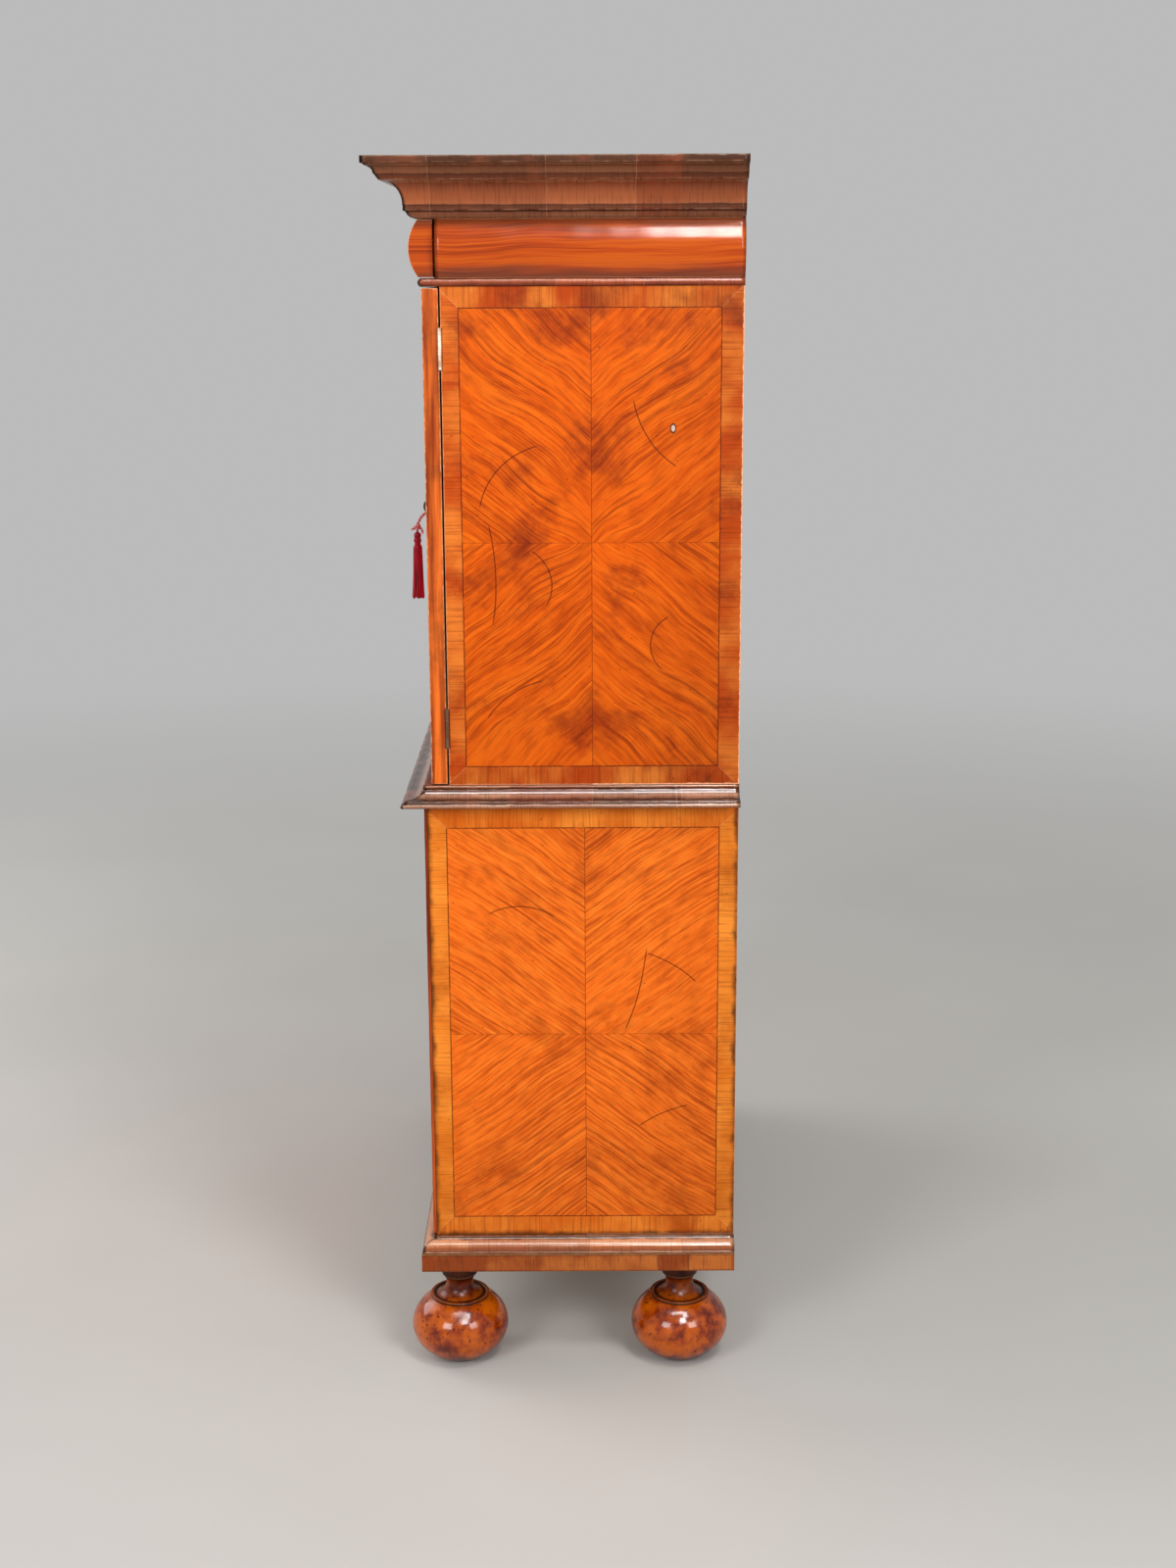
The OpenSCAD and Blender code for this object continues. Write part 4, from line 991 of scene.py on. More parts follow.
def arc(start: Spot, end: Spot, swell: float, count: int = 14) -> list[Spot]:
    """Points of a circular arc, without its end.

    Half the arc's angle is twice the arctangent of twice the swell over the chord, and its radius is the
    chord over twice that angle's sine. It swells to the left of the way from start to end, or to the right
    if swell is negative.

    Args:
        start: The first point.
        end: The point after the last one.
        swell: How far the arc's middle lies from the chord.
        count: How many points it has.

    Returns:
        The points.
    """
    a, b = np.array(start), np.array(end)
    chord = float(np.linalg.norm(b - a))
    way = (b - a) / chord
    left = np.array([-way[1], way[0]])
    half = 2 * math.atan(2 * swell / chord)
    radius = chord / (2 * math.sin(half))
    t = half * (2 * np.arange(count) / count - 1)
    rise = np.outer(radius * (np.cos(t) - math.cos(half)), left)
    return [(float(x), float(y)) for x, y in (a + b) / 2 + np.outer(radius * np.sin(t), way) + rise]


@dataclass(frozen=True)
class Section:
    """The closed outline of a moulding, in metres: how far out and how high, with its arrises eased."""

    points: np.ndarray
    wear: np.ndarray
    grime_and_shade: np.ndarray

    @staticmethod
    def eased(outline: list[Spot], ease: float = 0.7, fade: float = 2.4) -> "Section":
        """Rounds each sharp corner of an outline given in millimetres.

        Such a corner becomes three points: one on each side of it at the given distance, or less where the
        outline's steps are shorter, and one halfway round a parabola between them. A further one on each
        side ends its wear on an outer corner, or on an inner one its painted shade with grime. The other
        corners stay one point.

        Args:
            outline: The corners, anticlockwise.
            ease: How far from the corner the rounding begins.
            fade: How far from it the wear ends.

        Returns:
            The section.
        """
        corner = np.array(outline, float)
        back, ahead = np.roll(corner, 1, 0) - corner, np.roll(corner, -1, 0) - corner
        long_back, long_ahead = np.linalg.norm(back, axis=1), np.linalg.norm(ahead, axis=1)
        reach = np.minimum(ease, 0.3 * np.minimum(long_back, long_ahead))[:, None]
        first = corner + back / long_back[:, None] * reach
        last = corner + ahead / long_ahead[:, None] * reach
        start = corner + back * np.minimum(fade, 0.42 * long_back)[:, None] / long_back[:, None]
        end = corner + ahead * np.minimum(fade, 0.42 * long_ahead)[:, None] / long_ahead[:, None]
        middle = 0.25 * first + 0.5 * corner + 0.25 * last
        turn = (ahead[:, 0] * back[:, 1] - ahead[:, 1] * back[:, 0]) / (long_back * long_ahead)
        sharp = np.clip((np.abs(turn) - 0.3) / 0.3, 0, 1)[:, None]
        strength = np.array([[0.0, 0.7, 1.0, 0.7, 0.0]])
        keep = (sharp > 0) | (np.arange(5) == 2)[None, :]
        points = np.stack([start, first, middle, last, end], axis=1)
        wear = (sharp * (turn[:, None] > 0) * strength)[keep]
        # Inner corners keep painted shade, together with grime, that fades out from the corner.
        grime_and_shade = (sharp * (turn[:, None] < 0) * strength**0.5)[keep]
        return Section(points[keep] * MM, wear, grime_and_shade)

    def outward(self) -> np.ndarray:
        """The way straight out of the section at each point: the way along it, turned a quarter to the right.

        Returns:
            One way for each point, of length 1.
        """
        way = np.roll(self.points, -1, 0) - np.roll(self.points, 1, 0)
        way /= np.linalg.norm(way, axis=1)[:, None]
        return np.stack([way[:, 1], -way[:, 0]], axis=1)


@dataclass(frozen=True)
class Length:
    """A straight length of moulding: its section carried along a line, with mitred or square ends.

    A point of the section that stands out by o lies at out direction times o, plus its height. Along the
    line it runs from start to end, each made longer by o where that end is mitred. A square end is rounded
    where ease_ends gives a radius, with a ring of points at each of the angles given. The surface is even
    where it lies on the cabinet and wanders fully from flat outwards. What lies behind back isn't worn.
    """

    section: Section
    start: float
    end: float
    mitre_start: bool = False
    mitre_end: bool = False
    pitch: float = 0.006
    wobble: float = 0.00013
    nicks: float = 0.0005
    ease_ends: float = 0.0
    angles: tuple[float, ...] = (0.0, 30.0, 60.0, 90.0)
    flat: float = 0.002
    back: float = -0.0195
    seed: int = 1

    def patch(self, origin: Point, along: Point, out: Point, up: Point = (0.0, 0.0, 1.0)) -> Patch:
        """Works out the length's surface.

        Args:
            origin: The point that the section is measured from.
            along: The way along the length.
            out: The way out.
            up: The way up in the section.

        Returns:
            The patch, closed at both ends.
        """
        run, inset = self._rings()
        out_by, up_by = self._uneven(run, inset)
        lay = np.array(origin) + run[..., None] * np.array(along)
        lay = lay + out_by[..., None] * np.array(out) + up_by[..., None] * np.array(up)
        rows, columns = run.shape
        faces = grid(rows, columns)
        faces += [list(range(columns))[::-1], [(rows - 1) * columns + j for j in range(columns)]]
        if np.dot(np.cross(out, up), along) < 0:
            faces = [face[::-1] for face in faces]
        girth = np.broadcast_to(travelled(self.section.points), run.shape)
        uv = np.stack([run, girth], axis=-1).reshape(-1, 2)
        grime_and_shade = np.broadcast_to(self.section.grime_and_shade, run.shape).ravel().copy()
        return Patch(lay.reshape(-1, 3), faces, uv, self._worn(rows).ravel(), grime_and_shade)

    def _rings(self) -> tuple[np.ndarray, np.ndarray]:
        """Where the rings of points lie, at even steps but for a rounded end.

        Such an end has more, at the angles given: each lies its radius times one less the angle's sine from
        the end, and within the section by the radius times one less the cosine.

        Returns:
            Each point's place along the line, ring by ring, and how far each ring lies within the section.
        """
        points = self.section.points
        count = max(2, int((self.end - self.start) / self.pitch))
        share = np.linspace(0, 1, count)
        if self.ease_ends:
            ease, t = self.ease_ends, np.array(self.angles) * math.pi / 180
            inward, lengthwise = ease * (1 - np.cos(t)), ease * (1 - np.sin(t))
            inset = np.concatenate([inward[::-1], np.zeros(count), inward])
            middle = self.start + ease + (self.end - self.start - 2 * ease) * share
            place = np.concatenate([self.start + lengthwise[::-1], middle, self.end - lengthwise])
            return np.repeat(place[:, None], len(points), 1), inset
        lower = self.start - points[:, 0] * self.mitre_start
        upper = self.end + points[:, 0] * self.mitre_end
        return lower[None, :] + (upper - lower)[None, :] * share[:, None], np.zeros(count)

    def _uneven(self, run: np.ndarray, inset: np.ndarray) -> tuple[np.ndarray, np.ndarray]:
        """The section at each ring, with a slow wander of its surface and nicks in its worn arrises.

        Args:
            run: Each point's place along the line, ring by ring.
            inset: How far each ring lies within the section.

        Returns:
            How far out each point lies, and how high.
        """
        points, normals = self.section.points, self.section.outward()
        free = np.clip(points[:, 0] / self.flat, 0, 1)[None, :]
        chips = np.clip(ripple(run, self.seed + 5, (13.0, 31.0, 67.0)) - 0.35, 0, 1)
        bite = self.nicks * self.section.wear[None, :] * chips
        out_by = points[None, :, 0] - normals[None, :, 0] * inset[:, None]
        up_by = points[None, :, 1] - normals[None, :, 1] * inset[:, None]
        out_by = out_by + free * (self.wobble * ripple(run, self.seed) - bite * normals[None, :, 0])
        up_by = up_by + free * (self.wobble * ripple(run, self.seed + 1) * 0.6 - bite * normals[None, :, 1])
        return out_by, up_by

    def _worn(self, rows: int) -> np.ndarray:
        """How worn each point is: as the section is there, and fully on a rounded end but for its last ring.

        Args:
            rows: How many rings there are.

        Returns:
            The wear of 0 to 1.
        """
        ends = np.zeros((rows, 1))
        if self.ease_ends:
            ends[: len(self.angles)] = ends[-len(self.angles) :] = 1.0
        shown = self.section.points[None, :, 0] > self.back
        wear = np.maximum(self.section.wear[None, :], ends * shown)
        wear[[0, -1]] = 0.0
        return wear


class Pole(Enum):
    """The way that a turned piece points."""

    UP = 0
    FORWARDS = 1


def turned(
    outline: list[Spot], centre: Point, pole: Pole, sides: int = 96, ease: float = 0.25,
    grime_and_shade: tuple[Point, ...] = (),
) -> Patch:
    """A turned piece: an outline of radius and height, in millimetres, carried round an axis.

    A point at radius r and angle t lies at r times the cosine and sine of t across the axis. The dark
    bands given are painted shade, as is the dark of the outline's inner corners.

    Args:
        outline: The outline from one pole to the other; the poles have no radius.
        centre: The point on the axis that heights are measured from, in metres.
        pole: Whether its heights go up or forwards, towards -Y.
        sides: Points round the axis.
        ease: How far corners are rounded.
        grime_and_shade: Each a height in millimetres, a width and a strength, where the piece is dark.

    Returns:
        The patch.
    """
    section = Section.eased(outline, ease)
    inside = section.points[:, 0] > 1e-6
    inner, wear, hollow_shade = section.points[inside], section.wear[inside], section.grime_and_shade[inside]
    t = np.linspace(0, 2 * math.pi, sides, endpoint=False)
    r, h = inner[:, 0][:, None], inner[:, 1][:, None]
    heights = np.broadcast_to(h, (len(inner), sides))
    flat = np.stack([r * np.cos(t), r * np.sin(t), heights], axis=-1).reshape(-1, 3)
    poles = np.array([[0, 0, outline[0][1] * MM], [0, 0, outline[-1][1] * MM]])
    points = np.concatenate([flat, poles])
    if pole is Pole.FORWARDS:
        points = np.stack([points[:, 0], -points[:, 2], points[:, 1]], axis=1)
    height = np.concatenate([np.repeat(inner[:, 1], sides), poles[:, 2]])
    dark = np.concatenate([np.repeat(hollow_shade, sides), [0.0, 0.0]])
    # Bands of painted shade at the heights given.
    for at, width, strength in grime_and_shade:
        dark = np.maximum(dark, strength * np.clip(1.5 - np.abs(height / MM - at) / width, 0, 1))
    around = np.concatenate([np.tile(t, len(inner)), [0.0, 0.0]])
    girth = travelled(inner)
    run = np.stack([np.concatenate([np.repeat(girth, sides), [0.0, girth[-1]]]), around * 0.01], axis=1)
    worn = np.concatenate([np.repeat(wear, sides), [0.0, 0.0]])
    return Patch(points + np.array(centre), capped(len(inner), sides), run, worn, dark)


class Side(Enum):
    """A side of a board, as its axis and the way that it faces along it."""

    RIGHT = (0, 1)
    LEFT = (0, -1)
    BACK = (1, 1)
    FRONT = (1, -1)
    TOP = (2, 1)
    UNDER = (2, -1)


def round_arrises(work: bmesh.types.BMesh, low: np.ndarray, high: np.ndarray, ease: float) -> None:
    """Rounds the outer arrises of a board.

    An arris is an edge whose two ends share two coordinates of the board's box. Where an arris runs into a
    recess, its last 3 mm stay sharp, and shorter edges are left alone.

    Args:
        work: The board.
        low: Its box's least corner.
        high: Its box's greatest corner.
        ease: The rounding's width.
    """

    def ends(vert: bmesh.types.BMVert) -> np.ndarray:
        """Which of the box's six sides a point lies on."""
        place = np.array(vert.co)
        return np.concatenate([np.abs(place - low) < 1e-5, np.abs(place - high) < 1e-5])

    def arrises(longer: float) -> list[bmesh.types.BMEdge]:
        """The arrises that are longer than the given length."""
        shared = [(edge, ends(edge.verts[0]) & ends(edge.verts[1])) for edge in work.edges]
        return [edge for edge, both in shared if both.sum() == 2 and edge.calc_length() > longer]

    for edge in arrises(LONG_ARRIS):
        for vert in list(edge.verts):
            if ends(vert).sum() < 3:
                bmesh.utils.edge_split(edge, vert, SHARP_END / edge.calc_length())
    keep = arrises(1.5 * SHARP_END)
    if keep:
        bmesh.ops.bevel(
            work, geom=keep, offset=ease, segments=3, profile=0.5, affect="EDGES", clamp_overlap=False
        )


def eased_copy(
    node: str, ease: float, rest: bpy.types.Material, by: dict[Side, bpy.types.Material]
) -> bpy.types.Object:
    """Copies a CAD board with its outer arrises rounded, and gives each side of it its own material.

    Args:
        node: The CAD node.
        ease: The rounding's width.
        rest: The material of what no side below names.
        by: Materials by side.

    Returns:
        The copy, which rides on the node's body and replaces the node.
    """
    source = NODES[node]
    low, high = (np.array(corner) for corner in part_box(node))
    work = bmesh.new()
    work.from_mesh(source.data)
    bmesh.ops.remove_doubles(work, verts=work.verts, dist=1e-6)
    bmesh.ops.dissolve_limit(work, angle_limit=0.002, verts=work.verts, edges=work.edges)
    round_arrises(work, low, high, ease)
    bmesh.ops.recalc_face_normals(work, faces=work.faces)
    named = list(by)
    for face in work.faces:
        axis = int(np.argmax(np.abs(np.array(face.normal))))
        sign = 1 if face.normal[axis] > 0 else -1
        side = Side((axis, sign))
        reach = (high if sign > 0 else low)[axis]
        outer = abs(face.calc_center_median()[axis] - reach) < 2 * ease
        face.material_index = 1 + named.index(side) if side in by and outer else 0
        face.smooth = True
    mesh = bpy.data.meshes.new(node + "_eased")
    work.to_mesh(mesh)
    work.free()
    for material in (rest, *by.values()):
        mesh.materials.append(material)
    made = bpy.data.objects.new(node + "_eased", mesh)
    bpy.context.scene.collection.objects.link(made)
    made.modifiers.new("flats", "WEIGHTED_NORMAL").weight = 60
    return settle(made, body_of(source)[0], "walnut_veneer", node)


def settle(piece: bpy.types.Object, body: str, slot: str, *nodes: str) -> bpy.types.Object:
    """Lets a piece ride on a body and stands it in for the CAD nodes given.

    Args:
        piece: The piece.
        body: The body that it rides on.
        slot: What it is made of; not used.
        *nodes: The CAD nodes that it takes the place of, if any.

    Returns:
        The piece.
    """
    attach(piece, body)
    if nodes:
        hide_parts(*nodes)
    log.info("%s rides on %s", piece.name, body)
    return piece


def dress(material: bpy.types.Material, *nodes: str) -> None:
    """Gives CAD nodes a material in all their slots.

    Args:
        material: The material.
        *nodes: The nodes.
    """
    for node in nodes:
        for slot in NODES[node].material_slots:
            slot.material = material
        log.info("%s is dressed with %s", node, material.name)


# Camera, floor and light


@dataclass(frozen=True)
class Studio:
    """A camera at the photo's place, a pale floor and soft lights."""

    eye: Point = (3.35, 0.038, 1.553)
    pitch: float = 13.417
    roll: float = -0.27
    pixels: float = 2180.0
    tall: int = 1600
    floor_reach: float = 30.0
    backdrop: float = 0.5

    def build(self) -> None:
        """Makes the camera, the floor, the world and the lights."""
        bpy.context.scene.view_settings.view_transform = "Standard"
        self._camera()
        self._floor()
        self._world()
        self._lamp("window_left", (3.2, -1.9, 2.1), (0.2, -0.1, 0.8), 1.2, 47.0)
        self._lamp("window_right", (3.2, 2.0, 2.2), (0.2, 0.1, 0.8), 1.2, 43.0)
        self._lamp("ceiling", (2.05, 0.85, 3.35), (0.5, 0.2, 1.5), 0.6, 24.0)
        self._glint("tall_window", (3.0, 0.62, 3.2), (0.5, 0.2, 1.6), (0.8, 1.1), 32.0)
        self._glint("ceiling_panel", (1.5, 0.1, 3.2), (1.0, 0.1, 0.5), (1.8, 0.4), 20.0)
        self._lamp("front_fill", (-1.4, -3.2, 2.2), (0.0, 0.0, 0.9), 2.0, 50.0)

    def _camera(self) -> None:
        """Aims the camera along -X, tipped down by the pitch and rolled about its line of sight.

        Its focal length is that in pixels, times the sensor's width over the picture's height.
        """
        data = bpy.data.cameras.new("camera")
        data.sensor_width = 36.0
        data.lens = self.pixels * data.sensor_width / self.tall
        camera = bpy.data.objects.new("camera", data)
        bpy.context.scene.collection.objects.link(camera)
        camera.location = self.eye
        camera.rotation_mode = "QUATERNION"
        aim = Euler((math.radians(90 - self.pitch), 0, math.radians(90))).to_quaternion()
        camera.rotation_quaternion = aim @ Quaternion((0, 0, 1), math.radians(self.roll))
        bpy.context.scene.camera = camera

    def _floor(self) -> bpy.types.Object:
        """A wide pale floor that fades into the background, as a disc of rings.

        Returns:
            The floor.
        """
        radii = np.array([0.0, 1.0, 2.0, 4.0, 8.0, 16.0, self.floor_reach])[1:, None]
        sides = 96
        t = np.linspace(0, 2 * math.pi, sides, endpoint=False)[None, :]
        flat = np.zeros((len(radii), sides))
        ring = np.stack([radii * np.cos(t), radii * np.sin(t), flat], axis=-1).reshape(-1, 3)
        points = np.concatenate([ring, [[0.0, 0.0, 0.0]]])
        faces = [face[::-1] for face in grid(len(radii), sides)]
        faces += [[len(ring), i, (i + 1) % sides] for i in range(sides)]
        s = Shade("pale_floor")
        far = s.root(s.add(s.mul(s.x, s.x), s.mul(s.y, s.y)))
        cloud = s.noise(s.place, 2.0, 4.0)
        stone = s.mix(cloud, (0.54, 0.53, 0.50, 1.0), (0.60, 0.59, 0.56, 1.0))
        s.finish(stone, 0.7, Specular_IOR_Level=0.2)
        glow = s.node("ShaderNodeEmission", {"Color": (1.0, 1.0, 1.0, 1.0), "Strength": self.backdrop})
        rays = s.node("ShaderNodeLightPath", {}).node.outputs
        mirrored = s.add(rays["Is Glossy Ray"], rays["Is Transmission Ray"])
        seen = s.add(rays["Is Camera Ray"], mirrored, clamp=True)
        share = s.mul(s.step(far, 1.2, 5.5), seen)
        blend = s.node("ShaderNodeMixShader", {0: share, 1: s.shader.outputs[0], 2: glow})
        s.tree.links.new(blend, s.tree.nodes["Material Output"].inputs["Surface"])
        return Patch(points, faces, points[:, :2].copy()).piece("floor", s.material, weighted=False)

    def _world(self) -> None:
        """A plain pale world, alike to the camera, to reflections and to the light on the object."""
        world = bpy.data.worlds.new("studio")
        world.use_nodes = True
        bpy.context.scene.world = world
        back = world.node_tree.nodes["Background"]
        back.inputs["Color"].default_value = (1.0, 1.0, 1.0, 1.0)
        back.inputs["Strength"].default_value = self.backdrop

    @staticmethod
    def _lamp(name: str, place: Point, target: Point, size: float, watts: float) -> bpy.types.Object:
        """Hangs a square area lamp.

        Args:
            name: Its name.
            place: Where it hangs.
            target: What it faces.
            size: Its side.
            watts: Its power.

        Returns:
            The lamp.
        """
        data = bpy.data.lights.new(name, "AREA")
        data.size, data.energy = size, watts
        lamp = bpy.data.objects.new(name, data)
        lamp.location = place
        lamp.rotation_euler = (Vector(target) - Vector(place)).to_track_quat("-Z", "Y").to_euler()
        bpy.context.scene.collection.objects.link(lamp)
        return lamp

    def _glint(self, name: str, place: Point, target: Point, size: Spot, bright: float) -> None:
        """Hangs a lamp that shows in gloss and lights nothing.

        Its power is its brightness times its area times pi.

        Args:
            name: Its name.
            place: Where it hangs.
            target: What it faces.
            size: Its width and height.
            bright: Its brightness.
        """
        lamp = self._lamp(name, place, target, size[0], bright * size[0] * size[1] * math.pi)
        lamp.data.shape, lamp.data.size_y = "RECTANGLE", size[1]
        lamp.visible_diffuse = False


# Heights and faces that the pieces share, in metres

PLINTH_FOOT = 0.152
PLINTH_Z = 0.178
HALF = 0.49
BACK = 0.246
CHEST_Y = -0.184
CASE_Y = -0.153
DOOR_Y = -0.177
DOOR_BACK = -0.155
DOOR_FOOT, DOOR_TOP = 0.8715, 1.5365
FRIEZE_Y = -0.1805
CHEST_Z = 0.2
WAIST_Z = 0.844
CASE_Z = 0.870
CLEAR = 0.0002
BOARD_HALF = HALF - CLEAR
HEAD_Z = 1.538
FRIEZE_Z = 1.549
CORNICE_Z = 1.624
X_WAY, Y_WAY, Z_WAY = (1.0, 0.0, 0.0), (0.0, 1.0, 0.0), (0.0, 0.0, 1.0)
FRONT_WAY = (0.0, -1.0, 0.0)


# The cabinet's parts


class Wood(Enum):
    """The wood finishes, by what they cover."""

    UPPER_SIDE = Veneer(
        "quartered_upper", Face.SIDE, joint=(0.0445, 1.203), string=(-0.129, 0.2162, 0.896, 1.5108),
        edge=(CASE_Y, BACK, CASE_Z, FRIEZE_Z), seed=1.0, fine=72.0,
        bands=(tone(214, 84, 24), tone(202, 80, 24)), painted_shade=(0.16, 0.1), dents=((0.1531, 1.3543),),
        cracks=(
            Crack((-0.021, 1.332), (-0.0773, 1.3026), (-0.1042, 1.2481)),
            Crack((0.1005, 1.3948), (0.1207, 1.3416), (0.1572, 1.3041)),
            Crack((-0.0928, 1.2219), (-0.0846, 1.16), (-0.0909, 1.0867)),
            Crack((-0.0354, 1.1927), (-0.0108, 1.1596), (-0.0231, 1.1105)),
            Crack((0.1582, 1.1043), (0.1239, 1.0683), (0.1666, 1.0222)),
            Crack((-0.0995, 0.9609), (-0.0656, 0.9962), (-0.024, 1.015)),
        ),
    )
    LOWER_SIDE = Veneer(
        "quartered_lower", Face.SIDE, joint=(0.033, 0.507), string=(-0.158, 0.2193, 0.229, 0.8085),
        edge=(CHEST_Y, BACK, CHEST_Z, WAIST_Z), seed=2.0, slope=0.75, bend=0.25, sway=0.022, fine=80.0,
        broad=0.24, stripes=0.48, even=0.1, clouds=0.5, painted_shade=(0.1, 0.16), rub=(0.0, 0.2), soil=0.85,
        field=(tone(142, 54, 18), tone(244, 108, 28), tone(252, 136, 46)),
        bands=(tone(252, 134, 40), tone(244, 118, 32)),
        cracks=(
            Crack((-0.107, 0.681), (-0.055, 0.6955), (-0.011, 0.681)),
            Crack((0.086, 0.507), (0.108, 0.572), (0.119, 0.627)),
            Crack((0.119, 0.627), (0.1579, 0.6098), (0.1884, 0.585)),
            Crack((0.1086, 0.3673), (0.1422, 0.3866), (0.1785, 0.3983)),
        ),
    )
    UPPER_LEFT = replace(UPPER_SIDE, name="quartered_upper_left", seed=15.0, cracks=(), dents=())
    LOWER_LEFT = replace(LOWER_SIDE, name="quartered_lower_left", seed=16.0, cracks=())
    RIGHT_DOOR = Veneer(
        "quartered_right_door", Face.FRONT, joint=(0.2455, 1.204), string=(0.025, 0.466, 0.9055, 1.5025),
        edge=(0.001, HALF, DOOR_FOOT, DOOR_TOP), seed=3.0, rub=(0.3, 0.5), painted_shade=(0.0, 0.1),
    )
    LEFT_DOOR = Veneer(
        "quartered_left_door", Face.FRONT, joint=(-0.2455, 1.204), string=(-0.466, -0.025, 0.9055, 1.5025),
        edge=(-HALF, -0.001, DOOR_FOOT, DOOR_TOP), seed=4.0, rub=(0.5, 0.3), painted_shade=(0.0, 0.1),
    )
    DOOR_EDGE = LongGrain(
        "door_edge", Axis.UP, tone(136, 50, 12), tone(236, 112, 38), seed=1.0, dirt=0.34,
        rims=((Axis.DEEP, DOOR_Y), (Axis.DEEP, DOOR_BACK), (Axis.UP, DOOR_TOP), (Axis.UP, DOOR_FOOT)),
    )
    CASE_EDGE = LongGrain(
        "case_edge", Axis.UP, tone(150, 62, 22), tone(206, 104, 50), seed=2.0, dirt=0.3,
        rims=((Axis.ACROSS, HALF),),
    )
    # Near-black wood on the sides' front edges: painted shade in the gaps beside the doors and the chest's
    # front.
    SHADED_EDGE = LongGrain("shaded_edge", Axis.UP, tone(34, 18, 12), tone(70, 38, 22), seed=2.0, dirt=0.3)
    BEADS_UP = LongGrain(
        "bead_upright", Axis.UP, tone(118, 40, 12), tone(190, 82, 30), seed=3.0, dirt=0.35, gloss=0.3,
    )
    BEADS_LEVEL = LongGrain(
        "bead_level", Axis.ACROSS, tone(118, 40, 12), tone(190, 82, 30), seed=4.0, dirt=0.35, gloss=0.3,
    )
    OAK_ALONG = LongGrain(
        "oak_along", Axis.ACROSS, tone(150, 104, 60), tone(186, 138, 86), seed=6.0, dirt=0.18,
        plank_axis=Axis.DEEP, plank=0.14,
    )
    OAK_DEEP = LongGrain(
        "oak_deep", Axis.DEEP, tone(150, 104, 60), tone(186, 138, 86), seed=7.0, dirt=0.18,
        plank_axis=Axis.ACROSS, plank=0.17,
    )
    OAK_BOX = LongGrain("oak_drawers", Axis.DEEP, tone(160, 114, 68), tone(196, 150, 98), seed=8.0, dirt=0.15)
    OAK_INSIDE = LongGrain("oak_inside", Axis.UP, tone(152, 102, 60), tone(186, 136, 84), seed=9.0, dirt=0.18)
    # Its tints are the wood's tones band by band, with painted shade at the two small steps and a painted
    # highlight on the worn top arris.
    CORNICE = CrossGrain(
        "cornice_wood", CORNICE_Z,
        (
            (0.0, tone(156, 104, 76)), (0.0075, tone(122, 68, 44)), (0.0092, tone(50, 24, 14)),
            (0.0105, tone(104, 58, 38)), (0.0165, tone(110, 62, 40)), (0.018, tone(176, 100, 64)),
            (0.030, tone(168, 90, 54)), (0.043, tone(136, 70, 44)), (0.0455, tone(166, 112, 80)),
            (0.048, tone(116, 60, 36)), (0.0535, tone(98, 52, 32)), (0.056, tone(130, 80, 54)),
            (0.064, tone(112, 68, 46)), (0.0662, tone(128, 84, 60)), (0.0682, tone(84, 50, 33)),
            (0.0742, tone(90, 57, 40)), (0.076, tone(150, 116, 88)),
        ),
        seed=1.0, worn=0.35, shine=0.2, top=tone(112, 84, 62), dust=0.5,
    )
    # Its tints paint highlights on the beads and in the hollow, and shade at the fillets between them, over
    # the wood's tones.
    WAIST = CrossGrain(
        "waist_wood", WAIST_Z,
        (
            (0.0, tone(70, 38, 24)), (0.0018, tone(156, 104, 76)), (0.0055, tone(194, 144, 114)),
            (0.0066, tone(54, 28, 18)), (0.0085, tone(128, 84, 60)), (0.0096, tone(48, 25, 16)),
            (0.0112, tone(154, 104, 78)), (0.0140, tone(194, 142, 112)), (0.0165, tone(120, 68, 44)),
            (0.0212, tone(88, 44, 26)), (0.0232, tone(150, 86, 56)), (0.0252, tone(196, 134, 98)),
            (0.026, tone(90, 48, 30)),
        ),
        seed=2.0, gloss=0.1, shine=0.62,
    )
    # Its tints paint a highlight along the swelling band and on the fillets' edges, and shade in the grooves,
    # over the wood's tones.
    PLINTH = CrossGrain(
        "plinth_wood", PLINTH_Z,
        (
            (0.0, tone(196, 138, 104)), (0.0016, tone(60, 32, 20)), (0.0030, tone(204, 140, 104)),
            (0.0046, tone(136, 70, 36)), (0.0100, tone(170, 92, 46)), (0.0140, tone(216, 146, 104)),
            (0.0175, tone(222, 156, 116)), (0.0190, tone(70, 36, 22)), (0.0202, tone(150, 98, 66)),
            (0.022, tone(128, 80, 54)),
        ),
        piece=0.085, seed=3.0, gloss=0.1, shine=0.6,
    )
